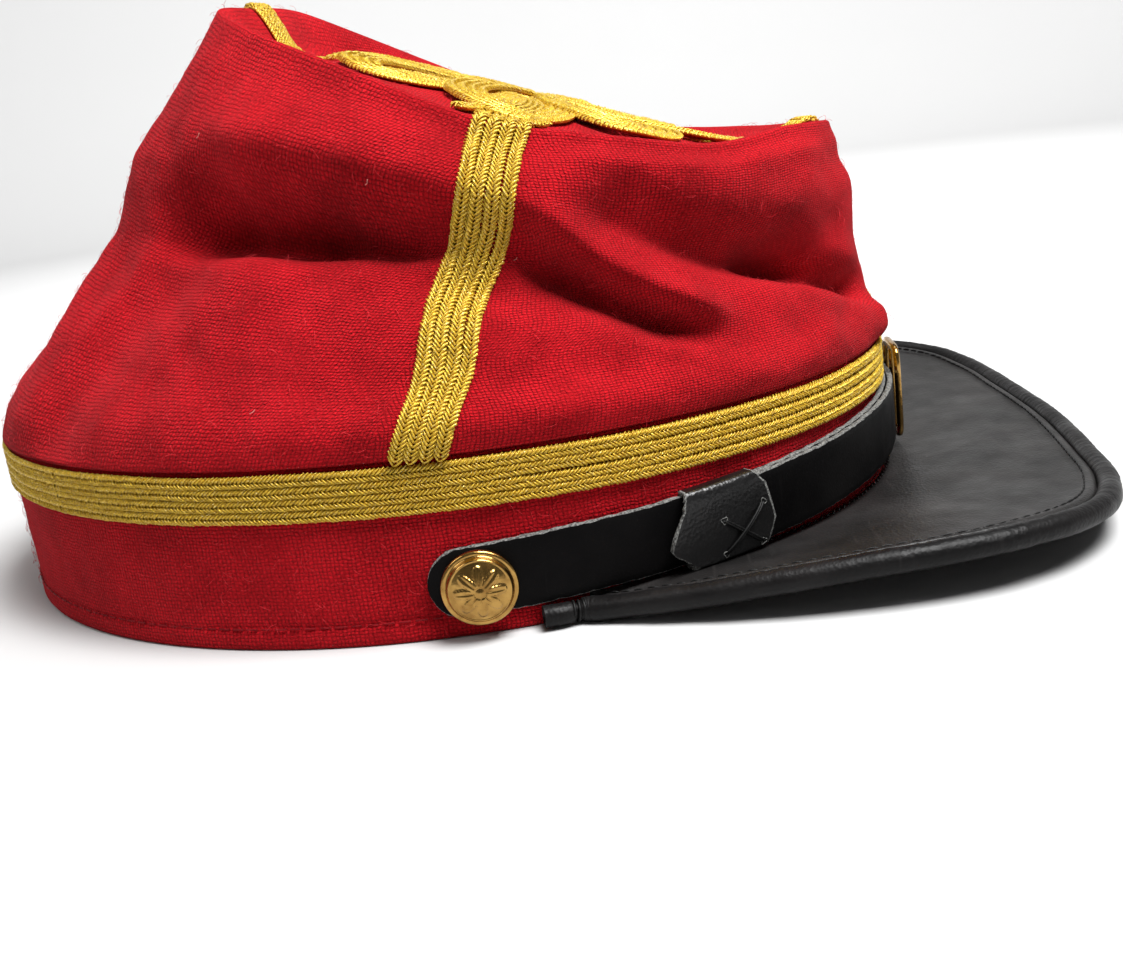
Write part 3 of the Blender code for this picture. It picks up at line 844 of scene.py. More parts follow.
@dataclass(frozen=True)
class WoolCloth:
    """Plain woven wool, fulled so that the threads blur into a nap, with painted shade in the gaps of its weave."""

    name: str = "red wool"
    lit: Colour = (0.55, 0.0080, 0.015)
    deep: Colour = (0.14, 0.0012, 0.0026)
    weft: float = 0.70
    warp: float = 0.80
    wander: float = 0.80
    stray: float = 0.36
    weave_depth: float = 0.00030
    nap_depth: float = 0.00024

    def material(self) -> Material:
        """Make the material, with its threads along the cloth's own map.

        Returns:
            The material.
        """
        graph = ShaderGraph(self.name)
        cloth = graph.add("ShaderNodeUVMap", uv_map="cloth")
        for scale, size in ((420.0, self.wander), (1500.0, self.stray)):
            inputs = {"Vector": graph.place(), "Scale": scale, "Detail": 1.0}
            noise = graph.add("ShaderNodeTexNoise", inputs, out="Color")
            cloth = graph.vector("ADD", cloth, graph.vector("MULTIPLY", noise, (size, size, 0.0)))
        parts = graph.node("ShaderNodeSeparateXYZ", {0: cloth})
        threads = []
        for axis, spacing in ((0, self.warp), (1, self.weft)):
            turn = graph.times(parts.outputs[axis], math.pi / spacing)
            threads.append(graph.maths("SINE", turn))
        crossing = graph.times(*threads)
        bumps = graph.maths("POWER", graph.maths("ABSOLUTE", crossing), 0.5)
        weave = graph.times(bumps, graph.ramp(crossing, -1.0, 1.0, 0.62, 1.0))
        nap = graph.noise(2300.0, 5.0)
        patches = graph.ramp(graph.noise(110.0, 4.0), 0.36, 0.64, 0.50, 1.0)
        shown = graph.times(weave, patches)
        tone = graph.maths("ADD", graph.times(shown, 0.62), graph.times(nap, 0.58))
        tone = graph.maths("ADD", tone, graph.ramp(graph.noise(38.0, 2.0), 0.35, 0.65, -0.06, 0.06))
        # The colour runs from the deep to the lit tone with the weave, the nap and random patches: the deep tone in
        # the gaps between the threads is painted shade, and the rest is random tone.
        colour = graph.mix(graph.ramp(tone, 0.24, 0.80), self.deep, self.lit)
        normal = graph.bump(shown, self.weave_depth)
        normal = graph.bump(nap, self.nap_depth, normal)
        return graph.shade(
            Base_Color=colour, Normal=normal, Roughness=0.95, Specular_IOR_Level=0.08,
            Sheen_Weight=0.10, Sheen_Roughness=0.5, Sheen_Tint=(1.0, 0.20, 0.22),
        )


@dataclass(frozen=True)
class Strands:
    """Loose fibres and threads in one colour."""

    name: str
    lit: Colour
    deep: Colour
    roughness: float = 0.8
    specular: float = 0.3

    def material(self) -> Material:
        """Make the material, mottled along its fibres."""
        graph = ShaderGraph(self.name)
        tone = graph.ramp(graph.noise(1500.0), 0.35, 0.65)
        normal = graph.bump(graph.noise(9000.0), 0.00003)
        return graph.shade(
            Base_Color=graph.mix(tone, self.deep, self.lit), Normal=normal,
            Roughness=self.roughness, Specular_IOR_Level=self.specular,
        )


@dataclass(frozen=True)
class GoldYarn:
    """Metallic rayon yarn: bright, with dark hollows and painted glints, pale spots mixed into its colour as
    highlights.
    """

    name: str = "gold yarn"
    bright: Colour = (0.84, 0.575, 0.048)
    deep: Colour = (0.42, 0.235, 0.011)
    painted_glint: Colour = (1.0, 0.88, 0.42)
    spark: float = 5200.0

    def material(self) -> Material:
        """Make the material."""
        graph = ShaderGraph(self.name)
        tone = graph.ramp(graph.noise(2200.0, 3.0), 0.33, 0.66)
        fine = graph.noise(self.spark, 2.0)
        colour = graph.mix(tone, self.deep, self.bright)
        # Painted highlight: small pale spots of noise are mixed into the colour as glints.
        colour = graph.mix(graph.ramp(graph.noise(3900.0, 1.0), 0.62, 0.74), colour, self.painted_glint)
        shine = graph.ramp(fine, 0.35, 0.65, 0.24, 0.52)
        normal = graph.bump(fine, 0.00009)
        return graph.shade(Base_Color=colour, Metallic=0.40, Roughness=shine, Normal=normal, Specular_IOR_Level=0.5)


@dataclass(frozen=True)
class Leather:
    """Black leather with a pebbled grain, creases and fine rubs."""

    name: str
    colour: Colour
    rubbed: Colour
    specular: float
    roughness: float = 0.42
    grain: float = 1500.0
    grain_depth: float = 0.00005
    crease_depth: float = 0.0
    rubs: float = 0.8

    def material(self) -> Material:
        """Make the material."""
        graph = ShaderGraph(self.name)
        cells = graph.add("ShaderNodeTexVoronoi", {"Vector": graph.place(), "Scale": self.grain}, out="Distance")
        wear = graph.ramp(graph.noise(45.0, 6.0), 0.42, 0.72)
        inputs = {"Vector": graph.place(), "Rotation": (0.0, 0.0, 0.6), "Scale": (40.0, 900.0, 40.0)}
        lines = graph.ramp(graph.noise(1.0, 2.0, graph.add("ShaderNodeMapping", inputs)), 0.60, 0.78)
        share = graph.maths("MAXIMUM", wear, graph.times(lines, self.rubs))
        normal = graph.bump(cells, self.grain_depth)
        normal = graph.bump(graph.noise(260.0, 4.0), self.crease_depth, normal)
        shine = graph.ramp(graph.noise(120.0, 4.0), 0.3, 0.7, self.roughness - 0.06, self.roughness + 0.10)
        return graph.shade(
            Base_Color=graph.mix(share, self.colour, self.rubbed), Roughness=shine, Normal=normal,
            Specular_IOR_Level=self.specular,
        )


@dataclass(frozen=True)
class RawEdge:
    """The cut edge of the leather: grey, fibrous and dull."""

    name: str = "raw leather edge"
    pale: Colour = (0.21, 0.21, 0.20)
    dark: Colour = (0.045, 0.044, 0.043)

    def material(self) -> Material:
        """Make the material."""
        graph = ShaderGraph(self.name)
        fibres = graph.noise(2400.0, 5.0)
        colour = graph.mix(graph.ramp(fibres, 0.36, 0.62), self.dark, self.pale)
        normal = graph.bump(fibres, 0.00025)
        return graph.shade(Base_Color=colour, Roughness=0.95, Normal=normal, Specular_IOR_Level=0.1)


@dataclass(frozen=True)
class Brass:
    """Stamped brass, polished and handled."""

    name: str = "stamped brass"
    bright: Colour = (0.47, 0.28, 0.080)
    dull: Colour = (0.22, 0.11, 0.028)

    def material(self) -> Material:
        """Make the material."""
        graph = ShaderGraph(self.name)
        smudge = graph.ramp(graph.noise(420.0, 5.0), 0.38, 0.68)
        colour = graph.mix(graph.times(smudge, 0.70), self.bright, self.dull)
        shine = graph.ramp(smudge, 0.0, 1.0, 0.13, 0.30)
        normal = graph.bump(graph.noise(900.0, 3.0), 0.00004)
        return graph.shade(Base_Color=colour, Metallic=1.0, Roughness=shine, Normal=normal)


@dataclass(frozen=True)
class StudioPaper:
    """The pale ground that the cap rests on."""

    name: str = "pale paper"
    tone: Colour = (0.52, 0.52, 0.52)
    other: Colour = (0.50, 0.50, 0.50)

    def material(self) -> Material:
        """Make the material."""
        graph = ShaderGraph(self.name)
        colour = graph.mix(graph.noise(3.0), self.tone, self.other)
        return graph.shade(Base_Color=colour, Roughness=0.9, Specular_IOR_Level=0.1)


# ---- rows laid by node trees


@dataclass(frozen=True)
class Guide:
    """A line on which threads are laid, with the direction out of the surface at each point."""

    points: Array
    normals: Array
    closed: bool = False


def upright(points: Array, closed: bool = False) -> Guide:
    """Return a guide for threads that are laid with their tops straight up."""
    return Guide(points, np.broadcast_to(UP, points.shape), closed)


class NodeTree(NodeWriter):
    """Writes a tree of geometry nodes with named inputs."""

    def __init__(self, name: str) -> None:
        """Start a tree with one geometry input and one geometry output."""
        self.tree = bpy.data.node_groups.new(name, "GeometryNodeTree")
        for way in ("INPUT", "OUTPUT"):
            self.tree.interface.new_socket(name="Geometry", in_out=way, socket_type="NodeSocketGeometry")
        self.source = self.tree.nodes.new("NodeGroupInput")
        self.sink = self.tree.nodes.new("NodeGroupOutput")

    def ask(self, name: str, kind: str = "NodeSocketFloat") -> Socket:
        """Add a named input and return its socket inside the tree."""
        self.tree.interface.new_socket(name=name, in_out="INPUT", socket_type=kind)
        return self.source.outputs[name]

    def scaled(self, vector: Any, size: Any) -> Socket:
        """Return a vector times a number."""
        return self.add("ShaderNodeVectorMath", {0: vector, "Scale": size}, operation="SCALE")

    def xyz(self, x: Any, y: Any, z: Any) -> Socket:
        """Return a vector made of three numbers."""
        return self.add("ShaderNodeCombineXYZ", {0: x, 1: y, 2: z})

    def stored(self, name: str) -> Socket:
        """Return a vector that is stored on the guide's points."""
        return self.add("GeometryNodeInputNamedAttribute", {"Name": name}, data_type="FLOAT_VECTOR")

    def evenly(self, step: Any) -> Socket:
        """Return the guide as a curve with a point at each step."""
        line = self.add("GeometryNodeMeshToCurve", {0: self.source.outputs[0]})
        return self.add("GeometryNodeResampleCurve", {"Curve": line, "Length": step}, mode="LENGTH")

    def strew(self, points: Any, thread: Any, turn: Any, sizes: tuple[float, float], seed: int) -> Socket:
        """Put a thread on each point.

        Args:
            points: Where the threads go.
            thread: The thread's mesh.
            turn: How each is turned.
            sizes: The smallest and the largest scale.
            seed: Seed of the scales.

        Returns:
            The threads.
        """
        size = self.add("FunctionNodeRandomValue", {2: sizes[0], 3: sizes[1], "Seed": seed}, out=1)
        inputs = {"Points": points, "Instance": thread, "Rotation": turn, "Scale": size}
        return self.add("GeometryNodeInstanceOnPoints", inputs)

    def rod(self, curve: Any, radius: Any, sides: int) -> Socket:
        """Return a closed tube along a curve."""
        ring = self.add("GeometryNodeCurvePrimitiveCircle", {"Resolution": sides, "Radius": radius}, mode="RADIUS")
        return self.add("GeometryNodeCurveToMesh", {"Curve": curve, "Profile Curve": ring, "Fill Caps": True})

    def arc(self, start: Any, middle: Any, end: Any, radius: Any, steps: int, sides: int) -> Socket:
        """Return a short thread along an arc."""
        inputs = {"Resolution": steps, "Start": start, "Middle": middle, "End": end}
        return self.rod(self.add("GeometryNodeCurveQuadraticBezier", inputs), radius, sides)

    def finish(self, parts: list[Socket], material: Any) -> Tree:
        """Join the parts, make them real and give them their material.

        Args:
            parts: The parts' sockets.
            material: The socket of the material.

        Returns:
            The finished tree.
        """
        whole = self.add("GeometryNodeJoinGeometry", {0: parts})
        whole = self.add("GeometryNodeRealizeInstances", {0: whole})
        whole = self.add("GeometryNodeSetShadeSmooth", {"Geometry": whole})
        whole = self.add("GeometryNodeSetMaterial", {"Geometry": whole, "Material": material})
        self.tree.links.new(whole, self.sink.inputs[0])
        return self.tree


def grow(name: str, start: bpy.types.Mesh, tree: Tree, values: dict[str, Any]) -> Piece:
    """Run a node tree on a mesh and keep the result as a plain mesh.

    Args:
        name: Name of the piece.
        start: The mesh that the tree starts from.
        tree: The node tree.
        values: Values for the tree's named inputs.

    Returns:
        The piece, with no modifier left.
    """
    made = placed(name, start)
    modifier = made.modifiers.new("grow", "NODES")
    modifier.node_group = tree
    for item in tree.interface.items_tree:
        if item.in_out == "INPUT" and item.name in values:
            modifier[item.identifier] = values[item.name]
    layers = bpy.context.evaluated_depsgraph_get()
    layers.update()
    result = bpy.data.meshes.new_from_object(made.evaluated_get(layers), depsgraph=layers)
    made.modifiers.remove(modifier)
    made.data = result
    result.name = name
    bpy.data.meshes.remove(start)
    return made


def guide_mesh(guides: Sequence[Guide]) -> bpy.types.Mesh:
    """Make a mesh of edges, with each point's outward and running direction stored on it.

    Args:
        guides: The lines.

    Returns:
        The mesh, in metres in the frame.
    """
    points, normals, aheads, edges = [], [], [], []
    for guide in guides:
        first, count = sum(len(part) for part in points), len(guide.points)
        points.append(guide.points)
        normals.append(unit(guide.normals))
        aheads.append(ahead_of(guide.points, guide.closed))
        edges += [(first + i, first + i + 1) for i in range(count - 1)]
        if guide.closed:
            edges.append((first + count - 1, first))
    mesh = bpy.data.meshes.new("guide")
    mesh.from_pydata((np.concatenate(points) * MM + band_middle()).tolist(), edges, [])
    for name, vectors in (("lay_normal", normals), ("lay_ahead", aheads)):
        layer = mesh.attributes.new(name, "FLOAT_VECTOR", "POINT")
        layer.data.foreach_set("vector", np.concatenate(vectors).reshape(-1).astype(np.float32))
    return mesh


def laid_rotation(nodes: NodeTree) -> Socket:
    """Return the turn that lays a thread along the guide, with its top outwards."""
    inputs = {"Primary Axis": nodes.stored("lay_normal"), "Secondary Axis": nodes.stored("lay_ahead")}
    return nodes.add("FunctionNodeAxesToRotation", inputs, primary_axis="Z", secondary_axis="X")


def braid_tree() -> Tree:
    """Make the tree of a soutache strand: two ribs, each wound with slanting threads that meet in the middle.

    Returns:
        The tree.
    """
    nodes = NodeTree("soutache")
    pitch, spread, core, reach, thick, rise = (
        nodes.ask(name) for name in ("Pitch", "Rib Offset", "Core Radius", "Slant", "Thread Radius", "Thread Rise")
    )
    material = nodes.ask("Material", "NodeSocketMaterial")
    curve = nodes.evenly(pitch)
    coarse = nodes.evenly(nodes.times(pitch, 2.0))
    across = nodes.vector("CROSS_PRODUCT", nodes.stored("lay_normal"), nodes.stored("lay_ahead"))
    parts = []
    for side in (1.0, -1.0):
        half = nodes.times(spread, side)
        offset = nodes.scaled(across, half)
        rib = nodes.add("GeometryNodeSetPosition", {"Geometry": curve, "Offset": offset})
        cord = nodes.add("GeometryNodeSetPosition", {"Geometry": coarse, "Offset": offset})
        parts.append(nodes.rod(cord, core, 4))
        inner = nodes.times(rise, 0.36)
        start = nodes.xyz(nodes.times(reach, -0.5), nodes.times(half, -1.0), inner)
        top = nodes.xyz(0.0, 0.0, nodes.times(rise, 2.0))
        end = nodes.xyz(nodes.times(reach, 0.5), half, 0.0)
        thread = nodes.arc(start, top, end, thick, 2, 3)
        parts.append(nodes.strew(rib, thread, laid_rotation(nodes), (0.86, 1.12), int(side) + 4))
    return nodes.finish(parts, material)


def stitch_tree() -> Tree:
    """Make the tree of a row of stitches along a guide.

    Returns:
        The tree.
    """
    nodes = NodeTree("stitches")
    pitch, length, thick, rise, skew = (
        nodes.ask(name) for name in ("Pitch", "Stitch Length", "Thread Radius", "Thread Rise", "Skew")
    )
    material = nodes.ask("Material", "NodeSocketMaterial")
    half = nodes.times(length, 0.5)
    start = nodes.xyz(nodes.times(half, -1.0), nodes.times(skew, -1.0), 0.0)
    top = nodes.xyz(0.0, 0.0, nodes.times(rise, 2.0))
    stitch = nodes.arc(start, top, nodes.xyz(half, skew, 0.0), thick, 4, 5)
    row = nodes.strew(nodes.evenly(pitch), stitch, laid_rotation(nodes), (0.8, 1.1), 3)
    return nodes.finish([row], material)


def fuzz_tree() -> Tree:
    """Make the tree of loose fibres that lie over a cloth.

    Returns:
        The tree.
    """
    nodes = NodeTree("nap")
    density, length, thick = (nodes.ask(name) for name in ("Density", "Fibre Length", "Fibre Radius"))
    seed = nodes.ask("Seed", "NodeSocketInt")
    material = nodes.ask("Material", "NodeSocketMaterial")
    inputs = {"Mesh": nodes.source.outputs[0], "Density": density, "Seed": seed}
    spread = nodes.node("GeometryNodeDistributePointsOnFaces", inputs)
    tall = nodes.times(length, 0.22)
    middle = nodes.xyz(nodes.times(length, 0.5), 0.0, nodes.times(tall, 2.0))
    end = nodes.xyz(length, nodes.times(length, 0.35), nodes.times(tall, 0.5))
    fibre = nodes.arc((0.0, 0.0, 0.0), middle, end, thick, 2, 3)
    inputs = {0: (-0.35, -0.35, 0.0), 1: (0.35, 0.35, 6.28), "Seed": 11}
    spin = nodes.add("FunctionNodeRandomValue", inputs, data_type="FLOAT_VECTOR")
    inputs = {"Rotation": spread.outputs["Rotation"], "Rotate By": nodes.add("FunctionNodeEulerToRotation", {0: spin})}
    turn = nodes.add("FunctionNodeRotateRotation", inputs, rotation_space="LOCAL")
    return nodes.finish([nodes.strew(spread.outputs["Points"], fibre, turn, (0.45, 1.25), 12)], material)


def made_of(finish: Any) -> Any:
    """Return a field that holds the material of a finish."""
    return field(default_factory=finish.material)


@dataclass(frozen=True)
class Stitch:
    """How far apart, long, thick and high a seam's stitches are, and how far their ends lie to its sides."""

    pitch: float
    length: float
    radius: float
    rise: float
    skew: float = 0.0


@dataclass
class Haberdashery:
    """The finishes and the node trees that all the pieces share."""

    wool: Material = made_of(WoolCloth())
    fibre: Material = made_of(Strands("wool fibres", (0.70, 0.050, 0.060), (0.42, 0.012, 0.018), 0.9, 0.05))
    red_thread: Material = made_of(Strands("red thread", (0.24, 0.004, 0.008), (0.12, 0.002, 0.004), 0.6, 0.15))
    black_thread: Material = made_of(
        Strands("waxed thread", (0.007, 0.0067, 0.0067), (0.002, 0.002, 0.002), 0.50, 0.22)
    )
    lint: Material = made_of(Strands("lint", (0.72, 0.26, 0.22), (0.50, 0.16, 0.14)))
    gold: Material = made_of(GoldYarn())
    strap_leather: Material = made_of(Leather(
        "smooth strap leather", colour=(0.0022, 0.0020, 0.0021), rubbed=(0.006, 0.0055, 0.0055),
        roughness=0.50, grain=2200.0, grain_depth=0.00002, specular=0.045,
    ))
    peak_leather: Material = made_of(Leather(
        "peak leather", colour=(0.007, 0.0064, 0.0062), rubbed=(0.020, 0.018, 0.0175), roughness=0.46,
        grain=1700.0, grain_depth=0.00006, crease_depth=0.00003, specular=0.31,
    ))
    binding_leather: Material = made_of(Leather(
        "binding leather", colour=(0.0030, 0.0027, 0.0028), rubbed=(0.010, 0.009, 0.009), crease_depth=0.00008,
        specular=0.17,
    ))
    keeper_leather: Material = made_of(Leather(
        "keeper leather", colour=(0.0032, 0.0030, 0.0031), rubbed=(0.011, 0.010, 0.010), roughness=0.34,
        grain_depth=0.00007, crease_depth=0.00006, specular=0.48, rubs=0.0,
    ))
    raw_edge: Material = made_of(RawEdge())
    brass: Material = made_of(Brass())
    braid: Tree = field(default_factory=braid_tree)
    stitches: Tree = field(default_factory=stitch_tree)
    nap: Tree = field(default_factory=fuzz_tree)
    core_share: float = 0.96
    braid_slant: float = 1.55
    braid_thread: float = 0.235
    braid_rise: float = 0.58
    fibre_length: float = 1.9
    fibre_radius: float = 0.032

    def lay_braid(
        self, name: str, guides: Sequence[Guide], pitch: float = 0.80, width: float = 2.26
    ) -> Piece:
        """Lay soutache along guides.

        Args:
            name: Name of the piece.
            guides: Middle lines of the strands.
            pitch: Distance from thread to thread.
            width: Width of a strand.

        Returns:
            The piece.
        """
        half = width / 4.0
        values = {
            "Pitch": pitch * MM, "Rib Offset": half * MM, "Core Radius": half * self.core_share * MM,
            "Slant": self.braid_slant * MM, "Thread Radius": self.braid_thread * MM,
            "Thread Rise": self.braid_rise * MM, "Material": self.gold,
        }
        return grow(name, guide_mesh(guides), self.braid, values)

    def sew(self, name: str, guide: Guide, material: Material, stitch: Stitch) -> Piece:
        """Sew a row of stitches along a guide.

        Args:
            name: Name of the piece.
            guide: Line of the seam.
            material: The thread's material.
            stitch: Size of the stitches.

        Returns:
            The piece.
        """
        values = {
            "Pitch": stitch.pitch * MM, "Stitch Length": stitch.length * MM, "Thread Radius": stitch.radius * MM,
            "Thread Rise": stitch.rise * MM, "Skew": stitch.skew * MM, "Material": material,
        }
        return grow(name, guide_mesh([guide]), self.stitches, values)

    def nap_on(self, name: str, form: Form, count: int, seed: int) -> Piece:
        """Strew loose fibres over a cloth.

        Args:
            name: Name of the piece.
            form: The cloth's outer face.
            count: About how many fibres there are.
            seed: Seed of their places.

        Returns:
            The piece.
        """
        base = make_object("nap_base", form, [self.fibre], outward=False)
        mesh = base.data
        area = sum(face.area for face in mesh.polygons)
        bpy.data.objects.remove(base)
        values = {
            "Density": count / area, "Fibre Length": self.fibre_length * MM, "Fibre Radius": self.fibre_radius * MM,
            "Seed": seed, "Material": self.fibre,
        }
        return grow(name, mesh, self.nap, values)


# ---- sub-assemblies


@dataclass
class Crown:
    """The soft crown: four wool panels, the roll over the rim and the sunk top."""

    cap: CapShape
    kit: Haberdashery
    columns: int = 408
    wall_rows: int = 96
    bead_rows: int = 12
    inner_rows: int = 32
    tip_columns: int = 216
    tip_rings: int = 46
    fibres: int = 5400
    seam_drop: float = 1.3
    lint_places: tuple[tuple[float, float], ...] = ((136.0, 0.76), (166.0, 0.76), (189.0, 0.62), (165.0, 0.15))

    def wall(self) -> Form:
        """Make the wall: its outer face, the roll over the rim and its inner face.

        Returns:
            The shape.
        """
        angle = round_cap(self.columns)
        outer = np.linspace(0.0, 1.0, self.wall_rows)
        bead = 1.0 + np.linspace(0.0, 1.0, self.bead_rows + 1)[1:]
        stations = np.concatenate([outer, bead])
        face = self.cap.skin(angle[None], stations[:, None])
        seam = face[-1:] - UP * self.seam_drop
        inner = np.linspace(0.985, 0.0, self.inner_rows)
        back = self.cap.skin(angle[None], inner[:, None])
        inward = self.cap.skin_normal(angle[None], inner[:, None])
        inward[-1] = self.cap.out(angle)
        points = np.concatenate([face, seam, back - inward * self.cap.cloth])
        form = grid_form(points, close_rows=True, close_columns=True)
        form.cloth_map = panel_map(points)
        return form

    def top(self) -> Form:
        """Make the sunk top: its upper face, a rounded edge and its lower face.

        Returns:
            The shape.
        """
        upper = np.linspace(0.975, 0.02, self.tip_rings) ** 0.8
        face = self.cap.tip(round_cap(self.tip_columns)[None], upper[:, None])
        drop = np.array([0.5] + [0.0] * (self.tip_rings - 1))[:, None, None] * UP
        lower = face[::-3] - UP * self.cap.cloth
        points = np.concatenate([lower, face[:1] - UP * 1.1, face - drop + UP * 0.15])
        form = grid_form(points, close_columns=True, caps=True)
        centre = points.mean((0, 1))[:2]
        spread = np.concatenate([points[..., :2].reshape(-1, 2), np.broadcast_to(centre, (2, 2))])
        form.cloth_map = spread[list(itertools.chain(*form.faces))]
        return form

    def lint(self) -> Form:
        """Make the few pale specks that cling to the wool.

        Returns:
            The shape.
        """
        specks = []
        for index, (angle, level) in enumerate(self.lint_places):
            turn = np.array([angle, angle + 0.3, angle + 0.35])
            rise = np.array([level, level + 0.004, level + 0.011])
            middle = self.cap.skin(turn, rise) + self.cap.skin_normal(turn, rise) * 0.25
            normal = self.cap.out(np.array(angle + 40.0 + index))
            specks.append(tube(through(middle, 7), 0.085, normal, sides=5))
        return joined(specks)

    def nap_form(self) -> Form:
        """Make the outer face alone, as the ground of the loose fibres."""
        stations = np.linspace(0.02, 2.9, 120)
        return grid_form(self.cap.skin(round_cap(180)[None], stations[:, None]), close_columns=True)

    def build(self) -> None:
        """Make and dress the crown."""
        hand_over(make_object("crown_wool", self.wall(), [self.kit.wool]), Slot.WOOL, "crown_side")
        hand_over(make_object("crown_tip", self.top(), [self.kit.wool]), Slot.WOOL, "crown_top")
        hand_over(self.kit.nap_on("crown_nap", self.nap_form(), self.fibres, 21), Slot.WOOL)
        hand_over(make_object("crown_lint", self.lint(), [self.kit.lint]), Slot.WOOL)


@dataclass
class Band:
    """The wool band with its turned hem, the hem's stitches and the braid stripe."""

    cap: CapShape
    kit: Haberdashery
    columns: int = 432
    wall: float = 2.6
    hem_height: float = 4.3
    hem_swell: float = 0.22
    hem_groove: float = 0.28
    stripe_bottom: float = 24.4
    strands: int = 4
    pitch: float = 2.25
    strand_lift: float = 0.50
    fibres: int = 2000
    hem_stitch: Stitch = Stitch(pitch=3.0, length=2.2, radius=0.17, rise=0.10)

    def outer_rows(self) -> tuple[Array, Array]:
        """Return the rows of the outer face.

        Returns:
            How far out and how high they are.
        """
        height = np.concatenate([[0.0, 0.25, 0.8], np.linspace(1.6, 33.2, 52), [33.9, 34.2]])
        out = np.zeros_like(height)
        out += self.hem_swell * np.sqrt(np.clip(1.0 - ((height - 2.0) / 2.2) ** 2, 0.0, 1.0))
        out -= self.hem_groove * bell(height - self.hem_height, 0.5)
        out[0] -= 0.7
        out[1] -= 0.25
        out[-2] -= 0.25
        out[-1] -= 0.9
        return out, height

    def body(self) -> Form:
        """Make the band's cloth.

        Returns:
            The shape.
        """
        out, height = self.outer_rows()
        rows = np.broadcast_to(round_cap(self.columns), (len(out), self.columns))
        face = self.cap.oval(rows, out[:, None], height[:, None])
        soft = waves(face, 24.0, 3) * 0.18 + waves(face, 8.0, 4) * 0.06
        face += self.cap.out(rows) * (soft * ease(height / 6.0)[:, None])[..., None]
        down = np.linspace(34.2, 0.0, 9)
        inner = self.cap.oval(rows[: len(down)], -self.wall, down[:, None])
        for points, up in ((face, height), (inner, down)):
            points[..., 2] += self.cap.band_rise * points[..., 1] * (up / self.cap.band_height)[:, None]
        points = np.concatenate([face, inner])
        form = grid_form(points, close_rows=True, close_columns=True)
        form.cloth_map = panel_map(points)
        return form

    def hem_guide(self) -> Guide:
        """Return the line of the hem's stitches."""
        angle = round_cap(360)
        return Guide(self.cap.oval(angle, 0.02, self.hem_height), self.cap.out(angle), closed=True)

    def stripe_guide(self, strand: int) -> Guide:
        """Return the middle line of one strand of the stripe."""
        angle = round_cap(720)
        points = self.cap.oval(angle, self.strand_lift, 0.0)
        height = self.stripe_bottom + self.pitch * (strand + 0.5)
        points[..., 2] = self.cap.tilted(height, points[..., 1]) + 0.12 * waves(points, 34.0, 40 + strand)
        return Guide(points, self.cap.out(angle) + UP * 0.02, closed=True)

    def nap_form(self) -> Form:
        """Make the outer face alone, as the ground of the loose fibres."""
        angle = np.broadcast_to(round_cap(180), (20, 180))
        return grid_form(self.cap.oval(angle, 0.1, np.linspace(2.8, 24.0, 20)[:, None]), close_columns=True)

    def build(self) -> None:
        """Make and dress the band."""
        hand_over(make_object("band_wool", self.body(), [self.kit.wool]), Slot.WOOL, "band")
        hand_over(self.kit.sew("hem_stitches", self.hem_guide(), self.kit.red_thread, self.hem_stitch), Slot.WOOL)
        for strand in range(self.strands):
            braid = self.kit.lay_braid(f"band_soutache_{strand + 1}", [self.stripe_guide(strand)])
            hand_over(braid, Slot.BRAID, f"band_braid_{strand + 1}")
        hand_over(self.kit.nap_on("band_nap", self.nap_form(), self.fibres, 22), Slot.WOOL)


@dataclass(frozen=True)
class Strip:
    """A braid strip up the crown: its angles from the band up to the rim, where it ends, and whether leaves end it."""

    name: str
    course: tuple[float, ...]
    end: float
    leaves: bool = False


@dataclass(frozen=True)
class Petal:
    """A ring of four petals of the knot: strands, reach of their round part and of what crosses it, and their turn."""

    strands: int
    reach: float
    curl: float
    turned: float


@dataclass(frozen=True)
class Heart:
    """The loops that fill a ring of petals: their turn, middle, half length, half width and number."""

    turned: float
    middle: float
    length: float
    width: float
    loops: int


